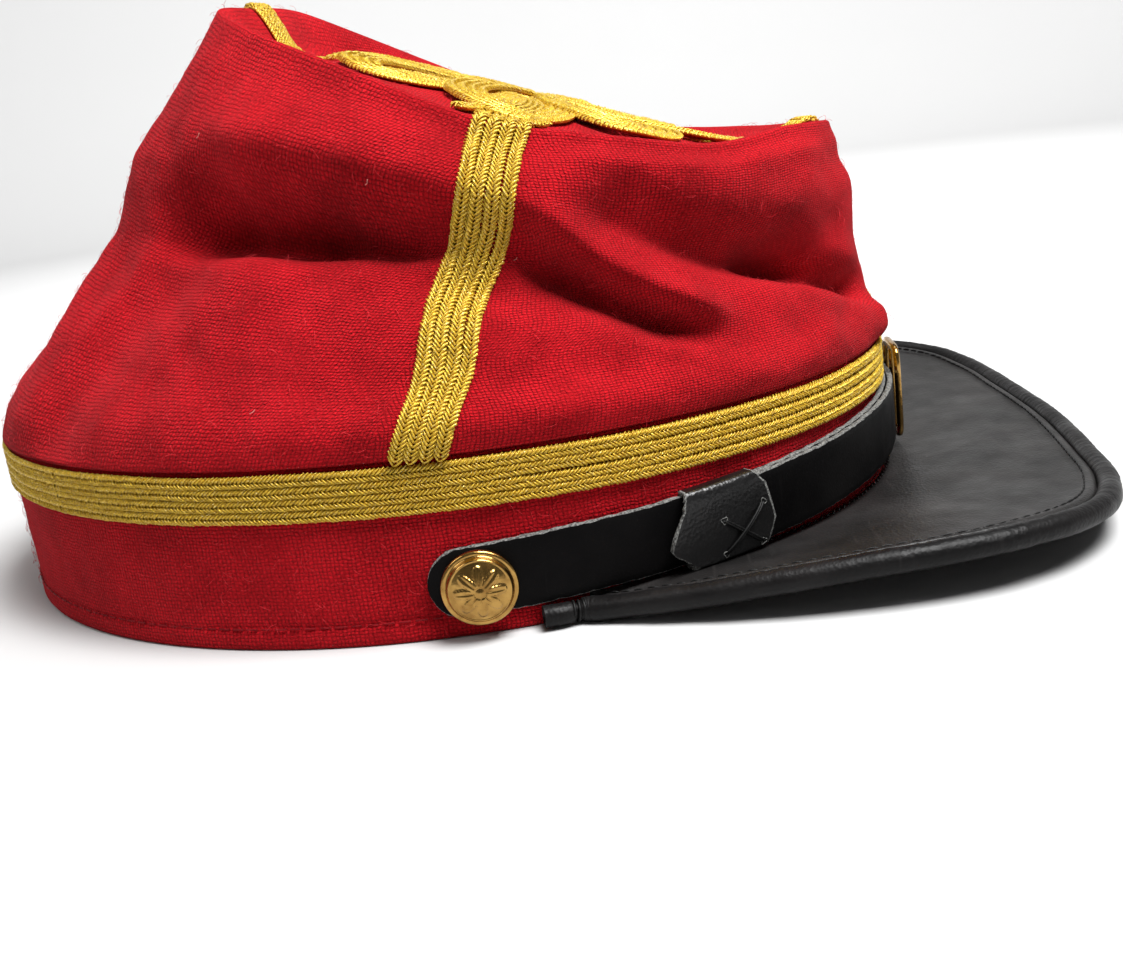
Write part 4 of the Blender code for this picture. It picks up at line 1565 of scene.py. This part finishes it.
@dataclass
class CrownBraid:
    """The four strips of soutache up the crown, and the knot on its top."""

    cap: CapShape
    kit: Haberdashery
    strips: tuple[Strip, ...] = (
        Strip("right", (184.9, 184.8, 182.9, 182.8, 180.4), 0.86, True),
        Strip("left", (-4.9, -4.8, -2.9, -2.8, -0.4), 0.86, True),
        Strip("front", (270.0, 270.0, 270.0), 0.70),
        Strip("back", (90.0, 90.0, 89.0), 0.70),
    )
    strands: int = 4
    pitch: float = 2.6
    splay: float = 0.04
    lift: float = 0.50
    search: float = 9.0
    search_steps: int = 37
    knot_pitch: float = 2.25
    knot_lift: float = 0.35
    top_reach: float = 62.0
    petals: tuple[Petal, ...] = (Petal(4, 0.44, 0.385, 0.0), Petal(4, 0.42, 0.345, 45.0))
    hearts: tuple[Heart, ...] = (Heart(0.0, 0.555, 16.4, 9.0, 4), Heart(45.0, 0.47, 15.0, 5.6, 2))
    squash: float = 0.86
    crossing_rise: float = 0.95
    heart_inset: float = 1.1
    knot_thread: float = 0.88
    heart_thread: float = 0.90
    leaf_shares: tuple[float, ...] = (0.80, 0.87, 0.925, 0.95, 0.935, 0.89, 0.83)
    leaf_spread: tuple[float, ...] = (2.6, 5.4, 7.4, 9.2, 8.6, 7.4, 5.6)

    def strip_guide(self, strip: Strip, strand: int) -> Guide:
        """Return the middle line of one strand of a strip, up the wall, over the rim and onto the top.

        Args:
            strip: The strip.
            strand: Number of the strand from one side.

        Returns:
            The guide.
        """
        end = 3.0 - strip.end / self.cap.bead_share
        wall, bead, top = (np.linspace(*run) for run in ((0.002, 1.0, 60), (1.0, 2.0, 14), (2.0, end, 16)))
        stations = np.concatenate([wall, bead[1:], top[1:]])
        level = np.clip(stations, 0.0, 1.0)
        angle = along_row(strip.course, level * (len(strip.course) - 1.0))
        aside = self.pitch * (strand - (self.strands - 1) / 2) * (1.0 + self.splay * level)
        aside = aside + 0.14 * np.where(strand >= 3, 1.0, -0.2) * bell(level - 0.55, 0.3)
        spread = np.linspace(-self.search, self.search, self.search_steps)
        across = self.cap.skin(angle[:, None] + spread, stations[:, None])
        run = np.cumsum(np.linalg.norm(np.diff(across, axis=1, prepend=across[:, :1]), axis=-1), axis=1)
        run = run - run[:, self.search_steps // 2, None]
        angle = angle + np.array([np.interp(*place, spread) for place in zip(aside, run)])
        normals = self.cap.skin_normal(angle, stations)
        return Guide(self.cap.skin(angle, stations) + normals * self.lift, normals)

    def on_top(self, path: Array, turned: float, lift: Any) -> Guide:
        """Lay a closed path on the sunk top.

        Args:
            path: Its points as complex numbers, in shares of the top.
            turned: How far it is turned, in degrees.
            lift: How far it lies above the cloth.

        Returns:
            The guide.
        """
        path = path * np.exp(1j * math.radians(turned))
        path = path.real + 1j * path.imag * self.squash
        points = self.cap.tip(np.degrees(np.angle(path)) % 360.0, np.abs(path))
        return upright(points + UP * lift, closed=True)

    def knot_guide(self, petal: Petal, strand: int) -> Guide:
        """Return the middle line of one strand of the knot: four crossing petals.

        Args:
            petal: The petals.
            strand: Number of the strand from one side.

        Returns:
            The guide.
        """
        turn = full_turn(900)
        path = petal.reach * np.exp(1j * turn) + petal.curl * np.exp(-3j * turn)
        step = np.roll(path, -1) - np.roll(path, 1)
        aside = (strand - (petal.strands - 1) / 2) * self.knot_pitch / self.top_reach
        over = 0.5 + 0.5 * np.tanh(3.0 * np.sin(4.0 * turn))
        lift = (self.lift + self.knot_lift + self.crossing_rise * over)[:, None]
        return self.on_top(path + 1j * step / np.abs(step) * aside, petal.turned, lift)

    def heart_guides(self) -> list[Guide]:
        """Return the loops that fill the petals, one inside the other.

        Returns:
            Their guides.
        """
        guides = []
        turn = full_turn(90)
        for heart, quarter in itertools.product(self.hearts, range(4)):
            for loop in range(heart.loops):
                inset = self.heart_inset + loop * (self.knot_pitch - 0.15)
                reach, half = heart.length - inset, max(heart.width - inset, 0.6)
                along = heart.middle + reach * np.cos(turn) / self.top_reach
                aside = half * np.sin(turn) * (0.80 + 0.20 * np.cos(turn)) / self.top_reach
                turned = heart.turned + 90.0 * quarter
                guides.append(self.on_top(along + 1j * aside, turned, self.lift + self.knot_lift))
        return guides

    def leaf_guides(self, strip: Strip) -> list[Guide]:
        """Return the two pointed leaves beside the end of a strip.

        Args:
            strip: The strip.

        Returns:
            Their guides.
        """
        guides = []
        for side in (1.0, -1.0):
            angle = strip.course[-1] + np.array(self.leaf_spread) * side
            points = self.cap.tip(angle, np.array(self.leaf_shares)) + UP * (self.lift + 0.5)
            guides.append(upright(through(points, 40)))
        return guides

    def build(self) -> None:
        """Make and dress the strips and the knot."""
        for strip in self.strips:
            for strand in range(self.strands):
                guide = self.strip_guide(strip, strand)
                braid = self.kit.lay_braid(f"strip_{strip.name}_{strand + 1}", [guide], width=self.pitch)
                hand_over(braid, Slot.BRAID, f"braid_{strip.name}_{strand + 1}")
        guides = [self.knot_guide(petal, strand) for petal in self.petals for strand in range(petal.strands)]
        for strip in self.strips:
            guides += self.leaf_guides(strip) if strip.leaves else []
        hand_over(self.kit.lay_braid("crown_knot", guides, pitch=self.knot_thread), Slot.BRAID, "top_knot")
        hand_over(self.kit.lay_braid("knot_hearts", self.heart_guides(), pitch=self.heart_thread), Slot.BRAID)


@dataclass
class Peak:
    """The leather peak with its bound edge, the tails of the binding and its stitches."""

    cap: CapShape
    kit: Haberdashery
    columns: int = 150
    rows: int = 44
    thick: float = 2.2
    root_height: float = 3.8
    root_fall: float = -2.4
    last_bearing: float = 106.5
    root_span: float = 69.7
    root_end: float = 2.0
    crown: float = 0.8
    roll: float = 2.2
    flap: float = 2.3
    flap_rise: float = 0.55
    root_dip: float = 0.75
    tail_height: float = 2.35
    tail_angles: tuple[float, ...] = (195.0, 197.0, 199.5)
    tail_length: float = 6.4
    neck: float = 1.5
    ring_sides: int = 22
    wrap_turns: float = 4.2
    thread_lift: float = 0.05
    flap_stitch: Stitch = Stitch(pitch=2.6, length=2.0, radius=0.20, rise=0.16)
    root_stitch: Stitch = Stitch(pitch=2.1, length=1.5, radius=0.22, rise=0.14, skew=0.25)

    def lines(self, share: Array) -> tuple[Array, Array, Array]:
        """Return the peak's root, its edge beside the roll, and the inward direction there.

        Args:
            share: Place along the peak, -1 on the right to 1 on the left.

        Returns:
            Root points, edge points and inward directions.
        """
        height = self.root_height - self.root_fall * share ** 2 - self.root_end * share ** 8
        root = self.cap.oval(FRONT + self.root_span * share, self.cap.gap, height)
        bearing = self.last_bearing * share
        ahead = self.cap.roll_middle(bearing + 1.0) - self.cap.roll_middle(bearing - 1.0)
        inward = unit(np.stack([-ahead[..., 1], ahead[..., 0], 0 * share], -1))
        edge = self.cap.roll_middle(bearing) + inward * (self.roll + 0.1)
        edge[..., 2] += self.thick / 2
        return root, edge, inward

    def top_points(self, share: Array, across: Array) -> Array:
        """Return points on the peak's upper face.

        Args:
            share: Place along the peak, -1 on the right to 1 on the left.
            across: 0 at its root and 1 at its edge.

        Returns:
            The points.
        """
        root, edge, _ = self.lines(share)
        points = root + (edge - root) * across[..., None]
        left = (1.0 - across) * np.linalg.norm(edge - root, axis=-1)
        points[..., 2] += self.crown * (1.0 - 2.0 * share ** 2) * np.sin(np.pi * across)
        points[..., 2] += self.flap_rise * ease((self.flap + 0.35 - left) / 0.7)
        points[..., 2] -= self.root_dip * bell(left, 0.55)
        points[..., 2] += 0.10 * waves(points, 31.0, 12) * np.sin(np.pi * across)
        return points

    def leaf(self) -> Form:
        """Make the peak's leather.

        Returns:
            The shape.
        """
        share = np.linspace(-1.0, 1.0, self.columns)
        across = np.concatenate([np.linspace(0.0, 0.86, self.rows - 16), np.linspace(0.87, 1.0, 16)])
        share_grid, across_grid = np.meshgrid(share, across)
        top = self.top_points(share_grid, across_grid)
        under = top[::-1] - UP * self.thick
        points = np.concatenate([top, under])
        form = grid_form(points, close_rows=True)
        rows = len(points)
        for column in (0, self.columns - 1):
            rim = [row * self.columns + column for row in range(rows)]
            half = rows // 2
            form.faces += [(rim[i], rim[i + 1], rim[rows - 2 - i], rim[rows - 1 - i]) for i in range(half - 1)]
        return form

    def route(self) -> Array:
        """Return the middle line of the rolled edge, from the right tail's end to the left one's."""
        tail = self.cap.oval(np.array(self.tail_angles), self.roll + self.cap.gap, self.tail_height)
        span = PEAK_EDGE[-1].bearing
        front = self.cap.roll_middle(np.linspace(-span, span, 37))
        other = tail[::-1] * np.array([-1.0, 1.0, 1.0])
        return through(np.concatenate([tail, front, other]), 620)

    def mouth(self, rings: Array, middle: Array) -> Array:
        """Return the rings of an open tail, from inside its hollow to its lip."""
        places = ((12, 0.4), (2, 0.62), (0, 0.70))
        return np.stack([middle[at] + (rings[at] - middle[at]) * share for at, share in places])

    def binding(self) -> Form:
        """Make the rolled edge: wrinkled leather, drawn in at a neck near each open tail.

        Returns:
            The shape.
        """
        middle = self.route()
        run = run_along(middle)
        near = np.minimum(run, run[-1] - run)
        radius = self.roll * np.where(near < self.tail_length, 0.93, 1.04)
        radius = radius - (self.roll - self.neck) * bell(near - self.tail_length, 1.1)
        side, rise = (axis[:, None] for axis in cross_axes(ahead_of(middle), UP))
        ring = circle(self.ring_sides)[None]
        rings = middle[:, None] + (side * ring[..., :1] + rise * ring[..., 1:]) * radius[:, None, None]
        squeeze = np.stack([near * 3.0, 0.0 * near, 0.0 * near], -1)[:, None] + rings * 0.45
        wrinkles = 0.045 * waves(squeeze, 3.4, 31) + 0.02 * waves(rings, 3.0, 32) + 0.06 * waves(rings, 11.0, 33)
        rings = rings + unit(rings - middle[:, None]) * wrinkles[..., None]
        near_mouth, far_mouth = self.mouth(rings, middle), self.mouth(rings[::-1], middle[::-1])
        return grid_form(np.concatenate([near_mouth, rings, far_mouth[::-1]]), close_columns=True, caps=True)

    def wraps(self) -> Form:
        """Make the turns of thread round both necks.

        Returns:
            The shape.
        """
        middle = self.route()
        run = run_along(middle)

        def on_route(place: Array) -> Array:
            """Return the points of the rolled edge's middle line at some distances along it."""
            return np.stack([np.interp(place, run, middle[:, axis]) for axis in range(3)], -1)

        coils = []
        for at in (self.tail_length, run[-1] - self.tail_length):
            turn = np.linspace(0.0, 2.0 * math.pi * self.wrap_turns, 120)
            place = at + 1.1 * np.sin(turn / self.wrap_turns * 0.5 - math.pi / 4.0) * 1.2
            side, rise = cross_axes(unit(on_route(at + 1.0) - on_route(at - 1.0)), UP)
            spoke = side * np.cos(turn)[:, None] + rise * np.sin(turn)[:, None]
            reach = self.neck + 0.28 + 0.25 * ((place - at) / 1.3) ** 2
            coils.append(tube(on_route(place) + spoke * reach[:, None], 0.27, spoke, sides=7))
        return joined(coils)

    def flap_guide(self) -> Guide:
        """Return the line of stitches along the inner edge of the binding's flap."""
        share = np.linspace(-0.97, 0.97, 400)
        root, edge, _ = self.lines(share)
        across = 1.0 - (self.flap - 0.1) / np.linalg.norm(edge - root, axis=-1)
        return upright(self.top_points(share, across) + UP * self.thread_lift)

    def root_guide(self) -> Guide:
        """Return the line of stitches that hold the peak to the band."""
        share = np.linspace(-0.94, 0.94, 300)
        return upright(self.top_points(share, np.full_like(share, 0.018)) + UP * self.thread_lift)

    def build(self) -> None:
        """Make and dress the peak."""
        hand_over(make_object("peak_leather", self.leaf(), [self.kit.peak_leather]), Slot.LEATHER, "peak")
        hand_over(make_object("peak_binding", self.binding(), [self.kit.binding_leather]), Slot.LEATHER, "peak_roll")
        hand_over(make_object("tail_wraps", self.wraps(), [self.kit.black_thread]), Slot.LEATHER)
        thread = self.kit.black_thread
        hand_over(self.kit.sew("flap_stitches", self.flap_guide(), thread, self.flap_stitch), Slot.LEATHER)
        hand_over(self.kit.sew("root_stitches", self.root_guide(), thread, self.root_stitch), Slot.LEATHER)


@dataclass
class ChinStrap:
    """The chin strap: two leather pieces that overlap, a keeper and a brass slide."""

    cap: CapShape
    kit: Haberdashery
    width: float = 13.2
    thick: float = 1.2
    end_reach: float = 9.8
    right_last: float = 277.0
    lap_start: float = 279.0
    lap_end: float = 287.0
    keeper_angle: float = 215.2
    keeper_wall: float = 0.8
    keeper_rear: tuple[float, float, float] = (-5.2, -11.3, -6.65)
    keeper_front: tuple[float, float, float, float] = (9.1, 11.4, 9.6, 7.7)
    loop_power: float = 0.42
    button_angle: float = 189.5
    slide_width: float = 17.0
    slide_height: float = 22.0
    slide_bar: float = 2.2
    slide_thick: float = 1.4
    slide_z: float = 17.2
    slide_steps: int = 96
    corner: float = 0.22
    cross: tuple[tuple[tuple[float, float], tuple[float, float]], ...] = (
        ((-0.2, 0.5), (8.0, -6.2)), ((-0.2, -6.0), (8.5, 1.4)),
    )

    def profile(self) -> list[tuple[float, float, float, int]]:
        """List the points of the strap's section.

        Returns:
            Share of the half width, inset, share of the thickness and face mark.
        """
        inset, corner = self.corner, self.corner * 0.4
        edge = ((0.93, corner), (0.5, 0.0), (0.08, corner))
        rows = []
        for side, count, face in ((1, 11, 1.0), (-1, 5, 0.0)):
            rows += [(k, -inset * k, face, 0) for k in np.linspace(-side, side, count)]
            rows[-1] = (*rows[-1][:3], 1)
            rows += [(1.0 * side, -side * shift, share, 1) for share, shift in edge[::side]]
        return rows

    def length_of(self, square_end: float, round_end: float, layer_at: Callable[[Array], Array], seed: int) -> Form:
        """Make one piece of the strap.

        Args:
            square_end: Angle of its square end.
            round_end: Angle of its round end, behind a button.
            layer_at: Gives the layer at an angle: 0 on the band, 1 on the other piece.
            seed: Seed of its frayed edge.

        Returns:
            The shape.
        """
        radius = self.width / 2
        sense = 1.0 if square_end > round_end else -1.0
        turn = np.radians(np.linspace(4.0, 90.0, 16))
        start = round_end + sense * radius * (1.0 - np.cos(turn)) / self.cap.step(round_end)
        count = int(abs(square_end - start[-1]) / 0.7)
        angle = np.concatenate([start, np.linspace(start[-1], square_end, count)[1:]])
        half = np.concatenate([radius * np.sin(turn), np.full(count - 1, radius)])
        rows = self.profile()
        share, inset, depth = (np.array([row[k] for row in rows])[None] for k in range(3))
        rise = share * half[:, None] + inset * np.minimum(1.0, half / 1.5)[:, None]
        layer = layer_at(angle)[:, None]
        lift = self.cap.strap("lift", angle)[:, None] + layer * (self.thick + self.cap.gap)
        dome = 0.14 * (1.0 - share ** 2) * depth
        angles = np.broadcast_to(angle[:, None], rise.shape)
        out = lift + depth * self.thick + dome
        points = self.cap.oval(angles, out, self.cap.strap("height", angle)[:, None] + rise)
        frayed = (np.abs(share) > 0.99) * np.minimum(1.0, half / 2.0)[:, None]
        fray = 0.07 * waves(points, 1.9, seed) + 0.08 * waves(points, 5.0, seed + 1)
        points[..., 2] += frayed * np.sign(share) * fray
        ripple = 0.07 * waves(points, 17.0, seed + 2) * depth
        points += self.cap.out(angles) * ripple[..., None]
        form = grid_form(points, close_columns=True, caps=True)
        columns = len(rows)
        form.marks = [rows[i % columns][3] for i in range((len(points) - 1) * columns)]
        form.marks += [1] * (len(form.faces) - len(form.marks))
        return form

    def lap(self, angle: Array) -> Array:
        """Return the left piece's layer: on the band at the left, on the right piece from the slide on."""
        return ease((self.lap_end - angle) / (self.lap_end - self.lap_start))

    def keeper_loop(self, turn: Array, layer: float) -> tuple[Array, Array]:
        """Return how far out and how high a loop round both layers of the strap runs.

        Args:
            turn: Place round the loop in radians, 0 straight out.
            layer: How far outside the strap it lies.

        Returns:
            Distances out and heights above the strap's middle.
        """
        lift = float(self.cap.strap("lift", np.array(self.keeper_angle)))
        half_out = self.thick + 0.2 + layer
        half_up = self.width / 2 + 0.15 + layer
        out = signed_power(np.cos(turn), self.loop_power) * half_out
        rise = signed_power(np.sin(turn), self.loop_power) * half_up
        return np.maximum(lift + self.thick + 0.15 + out, 0.15), rise

    def keeper_ends(self, turn: Array) -> tuple[Array, Array]:
        """Return the keeper's rear and front ends round the loop.

        Args:
            turn: Place round the loop in radians, 0 straight out.

        Returns:
            Millimetres from its middle, to the rear and to the front.
        """
        front_face = ease(np.cos(turn) * 1.6)
        rise = signed_power(np.sin(turn), self.loop_power)
        rear = np.interp(rise, (-1.0, -0.35, 1.0), self.keeper_rear)
        front = np.interp(rise, (-1.0, -0.30, 0.60, 1.0), self.keeper_front)
        top_rear, top_front = self.keeper_rear[-1], self.keeper_front[-1]
        return top_rear + (rear - top_rear) * front_face, top_front + (front - top_front) * front_face

    def keeper_turn(self, run: Any) -> Any:
        """Return the angles at some millimetres from the keeper's middle."""
        return self.keeper_angle + run / self.cap.step(self.keeper_angle)

    def keeper(self) -> Form:
        """Make the leather loop: a folded sheet with a pointed, raw rear end.

        Returns:
            The shape.
        """
        loops, inner_rows, edge_rows = 96, 18, 3
        turn = full_turn(loops)
        rear, front = self.keeper_ends(turn)
        out_share = np.concatenate([[0.0, 0.02], np.linspace(0.05, 0.95, inner_rows - 4), [0.98, 1.0]])
        climb = [k / (edge_rows + 1) for k in range(1, edge_rows + 1)]
        layers = [self.keeper_wall] * inner_rows + [self.keeper_wall * (1 - k) for k in climb]
        layers += [0.0] * inner_rows + [self.keeper_wall * k for k in climb]
        shares = [*out_share, *[1.0] * edge_rows, *out_share[::-1], *[0.0] * edge_rows]
        rings = []
        for share, layer in zip(shares, layers):
            run = rear + (front - rear) * share
            place = np.stack([run, 7.0 * np.sin(turn), 7.0 * np.cos(turn)], -1)
            fray = 0.16 * waves(place, 1.7, 51) + 0.22 * waves(place * np.array([0.0, 1.0, 1.0]), 5.0, 52)
            run = run + fray * (bell(share, 0.05) + 0.6 * bell(1.0 - share, 0.05))
            angle = self.keeper_turn(run)
            out, rise = self.keeper_loop(turn, layer)
            swell = 0.22 * np.sin(math.pi * share) * layer / self.keeper_wall
            out = out + swell * np.maximum(np.cos(turn), 0.0)
            rings.append(self.cap.oval(angle, out, self.cap.strap("height", angle) + rise))
        points = np.stack(rings)
        form = grid_form(points, close_rows=True, close_columns=True)
        marks = ([1] + [0] * (inner_rows - 3) + [1] + [1] * (edge_rows + 1)) * 2
        form.marks = [marks[i // loops] for i in range(len(form.faces))]
        return form

    def keeper_surface(self, run: Array, rise: Array, lift: float) -> Array:
        """Return points on the keeper's outer face, from millimetres along and up, lifted off it."""
        angle = self.keeper_turn(run)
        share = np.clip(np.abs(rise) / (self.width / 2 + 0.95), 0.0, 1.0)
        out, _ = self.keeper_loop(np.arcsin(share ** (1 / self.loop_power)) * np.sign(rise), self.keeper_wall)
        return self.cap.oval(angle, out + 0.2 + lift, self.cap.strap("height", angle) + rise)

    def cross_stitch(self) -> Form:
        """Make the doubled threads that cross on the keeper's front half, and the worn holes at their ends.

        Returns:
            The shape.
        """
        share = np.linspace(0.0, 1.0, 24)
        cords, holes = [], []
        for (start, end), depth in zip(self.cross, (0.0, 0.30)):
            for twin in (-0.27, 0.27):
                run = start[0] + (end[0] - start[0]) * share + twin
                rise = start[1] + (end[1] - start[1]) * share
                arch = -0.25 + (0.55 + depth) * np.sin(math.pi * share) ** 0.6
                normal = self.cap.out(self.keeper_turn(run))
                line = self.keeper_surface(run, rise, 0.0) + normal * arch[:, None]
                cords.append(tube(line, 0.27, normal, sides=7))
        turn = full_turn(14)
        for run, rise in (*self.cross[0], *self.cross[1]):
            reach = 0.62 + 0.16 * np.sin(turn * 3.0 + run)
            ring = self.keeper_surface(run + reach * np.cos(turn), rise + reach * np.sin(turn), 0.02)
            hole = tube(ring, 0.09, self.cap.out(np.array(self.keeper_angle)), sides=5, closed=True)
            hole.marks = [1] * len(hole.faces)
            holes.append(hole)
        return joined(cords + holes)

    def slide(self) -> Form:
        """Make the brass slide: a rounded frame with a middle bar.

        Returns:
            The shape.
        """
        bar = self.slide_bar / 2
        half = np.array([self.slide_width / 2 - bar, self.slide_height / 2 - bar])
        flat = signed_power(circle(self.slide_steps), 0.34) * half
        depth = self.cap.half_length + 0.4 + 2 * self.thick + 0.6 + self.slide_thick / 2
        middle = np.stack([flat[:, 0], np.full(self.slide_steps, -depth), self.slide_z + flat[:, 1]], -1)
        profile = signed_power(circle(12), 0.7) * np.array([bar, self.slide_thick / 2])
        out = np.broadcast_to(np.array([0.0, -1.0, 0.0]), middle.shape)
        ring = sweep(middle, unit(np.cross(ahead_of(middle, True), out)), out, profile, closed=True)
        height = np.linspace(-half[1], half[1], 12)
        post = np.stack([0 * height, np.full(12, -depth), self.slide_z + height], -1)
        across = np.broadcast_to(np.array([1.0, 0.0, 0.0]), post.shape)
        return ring.join(sweep(post, across, out[:12], profile * np.array([0.9, 0.85])))

    def build(self) -> None:
        """Make and dress the strap."""
        leather = [self.kit.strap_leather, self.kit.raw_edge]
        round_end = self.button_angle - self.end_reach / self.cap.step(self.button_angle)
        right = self.length_of(self.right_last, round_end, lambda angle: angle * 0.0, 61)
        hand_over(make_object("strap_right", right, leather), Slot.LEATHER, "chin_strap_right")
        left = self.length_of(self.keeper_angle - 1.0, mirrored(round_end), self.lap, 71)
        hand_over(make_object("strap_left", left, leather), Slot.LEATHER, "chin_strap_left")
        keeper = [self.kit.keeper_leather, self.kit.raw_edge]
        hand_over(make_object("strap_keeper_loop", self.keeper(), keeper), Slot.LEATHER, "strap_keeper")
        cross = [self.kit.black_thread, self.kit.raw_edge]
        hand_over(make_object("keeper_stitches", self.cross_stitch(), cross), Slot.LEATHER)
        hand_over(make_object("strap_slide", self.slide(), [self.kit.brass]), Slot.METAL, "strap_buckle")


@dataclass
class SideButton:
    """A domed brass button with a rolled rim and a plain stamped rosette."""

    cap: CapShape
    kit: Haberdashery
    side: Side
    angle: float = 189.1
    height: float = 10.1
    radius: float = 7.0
    dome: float = 4.2
    petals: int = 8
    relief: float = 0.30
    spokes: int = 112
    rings: int = 60
    edge_reach: tuple[float, ...] = (0.96, 0.985, 1.0, 1.0, 0.985, 0.95, 0.90, 0.86)
    edge_height: tuple[float, ...] = (1.86, 1.72, 1.45, 0.95, 0.55, 0.25, 0.08, 0.0)
    strap_thick: float = 1.2

    def surface(self, reach: Array, turn: Array) -> Array:
        """Return the height of the button's face.

        Args:
            reach: Distances from its middle.
            turn: Angles round it in radians.

        Returns:
            Heights above its back.
        """
        share = reach / self.radius
        height = 1.9 + (self.dome - 1.9) * np.clip(1.0 - (share / 0.93) ** 2, 0.0, 1.0) ** 0.85
        height = height - 0.30 * bell(share - 0.885, 0.035) + 0.12 * bell(share - 0.95, 0.04)
        wave = np.abs(np.cos(turn * self.petals / 2))
        petal = ease((0.30 + 0.42 * wave - share) / 0.07) * ease((share - 0.13) / 0.06)
        vein = bell((wave - 1.0) * share, 0.012)
        ring = bell(share - 0.80, 0.022)
        seed = bell(share, 0.10)
        return height + self.relief * (petal * (1.0 - 0.6 * vein) + 0.9 * ring + 1.2 * seed)

    def form(self) -> Form:
        """Make the button's shape.

        Returns:
            The shape.
        """
        reach = np.concatenate([np.linspace(0.02, 0.93, self.rings), self.edge_reach]) * self.radius
        reach_grid, turn_grid = np.meshgrid(reach, full_turn(self.spokes), indexing="ij")
        height = self.surface(reach_grid, turn_grid)
        height[self.rings :] = np.array(self.edge_height)[:, None]
        angle = np.array(self.angle if self.side is Side.RIGHT else mirrored(self.angle))
        out = self.cap.out(angle)
        side = np.cross(out, UP)
        lift = float(self.cap.strap("lift", angle)) + self.strap_thick + self.cap.gap
        spoke = side * np.cos(turn_grid)[..., None] + UP * np.sin(turn_grid)[..., None]
        base = self.cap.oval(angle, lift, self.height)
        points = base + spoke * reach_grid[..., None] + out * height[..., None]
        return grid_form(points, close_columns=True, caps=True)

    def build(self) -> None:
        """Make and dress the button."""
        name = self.side.value
        hand_over(make_object(f"brass_button_{name}", self.form(), [self.kit.brass]), Slot.METAL, f"button_{name}")


@dataclass(frozen=True)
class SoftLight:
    """A soft square light: where it hangs, what it points at, the length of its sides and its watts."""

    name: str
    place: Point
    aim: Point
    size: float
    power: float


@dataclass
class Studio:
    """The camera at the photo's angle, soft lights and a pale ground, in metres."""

    lens: float = 42.33
    sensor: float = 36.0
    camera_place: Point = (-0.30608, -0.03461, 0.08934)
    camera_right: Point = (0.06297, -0.98980, -0.12774)
    camera_up: Point = (0.28482, -0.10485, 0.95282)
    camera_back: Point = (-0.95650, -0.09639, 0.27532)
    floor_radius: float = 1.3
    bowl_height: float = 1.1
    floor_sides: int = 96
    floor_rings: int = 12
    daylight: float = 0.11
    lights: tuple[SoftLight, ...] = (
        SoftLight("overhead", (-0.25, -0.34, 0.92), (0.0, 0.0, 0.05), 0.46, 21.2),
        SoftLight("side", (-0.22, 0.62, 0.70), (0.0, 0.02, 0.06), 0.40, 1.9),
        SoftLight("backdrop", (0.45, 0.0, 1.00), (1.70, 0.0, 0.35), 0.70, 30.0),
    )

    def stand(self, made: Piece, place: Point, axes: Sequence[Any]) -> None:
        """Put the camera or a light at a place, with its right, up and back directions."""
        made.matrix_world = Matrix.Translation(place) @ Matrix(axes).transposed().to_4x4()

    def camera(self) -> None:
        """Place the camera."""
        data = bpy.data.cameras.new("camera")
        data.lens = self.lens
        data.sensor_width = self.sensor
        data.clip_start = 0.01
        made = placed("camera", data)
        self.stand(made, self.camera_place, (self.camera_right, self.camera_up, self.camera_back))
        bpy.context.scene.camera = made

    def hang(self, light: SoftLight) -> None:
        """Hang a soft light.

        Args:
            light: The light.
        """
        data = bpy.data.lights.new(light.name, "AREA")
        data.size = light.size
        data.energy = light.power
        made = placed(light.name, data)
        made.visible_camera = False
        back = unit(np.array(light.place) - np.array(light.aim))
        right = unit(np.cross(np.array([0.0, 1.0, 0.01]), back))
        self.stand(made, light.place, (right, np.cross(back, right), back))

    def ground(self) -> None:
        """Make the pale ground, which curves up all round into a backdrop."""
        curve = np.linspace(0.1, math.pi / 2, self.floor_rings)
        flat = np.linspace(0.05, 1.0, self.floor_rings)
        reach = np.concatenate([flat, 1.0 + 0.5 * np.sin(curve)]) * self.floor_radius
        rise = np.concatenate([0.0 * flat, self.bowl_height * (1.0 - np.cos(curve))])
        rings = circle(self.floor_sides)[None] * reach[:, None, None]
        heights = np.broadcast_to(rise[:, None, None], (*rings.shape[:2], 1))
        points = np.concatenate([rings, heights], -1)
        form = grid_form((points - band_middle()) / MM, close_columns=True)
        form.faces.append(tuple(range(self.floor_sides))[::-1])
        floor = make_object("ground", form, [StudioPaper().material()], outward=False)
        floor.data.flip_normals()

    def build(self) -> None:
        """Set up the studio."""
        self.camera()
        self.ground()
        for light in self.lights:
            self.hang(light)
        world = bpy.data.worlds.new("studio")
        world.use_nodes = True
        sky = world.node_tree.nodes["Background"].inputs
        sky["Color"].default_value = (1.0, 1.0, 1.0, 1.0)
        sky["Strength"].default_value = self.daylight
        bpy.context.scene.world = world
        bpy.context.scene.view_settings.view_transform = "Standard"


def main() -> None:
    """Build the cap's pieces in order, then the studio round it."""
    logging.basicConfig(level=logging.INFO, format="%(message)s")
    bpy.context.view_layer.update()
    half_width, half_length = band_halves()
    cap = CapShape(half_width, half_length)
    kit = Haberdashery()
    parts = [assembly(cap, kit) for assembly in (Band, Crown, CrownBraid, Peak, ChinStrap)]
    for part in parts + [SideButton(cap, kit, side) for side in Side]:
        LOG.info("building %s", type(part).__name__)
        part.build()
    Studio().build()


if __name__ == "__main__":
    main()
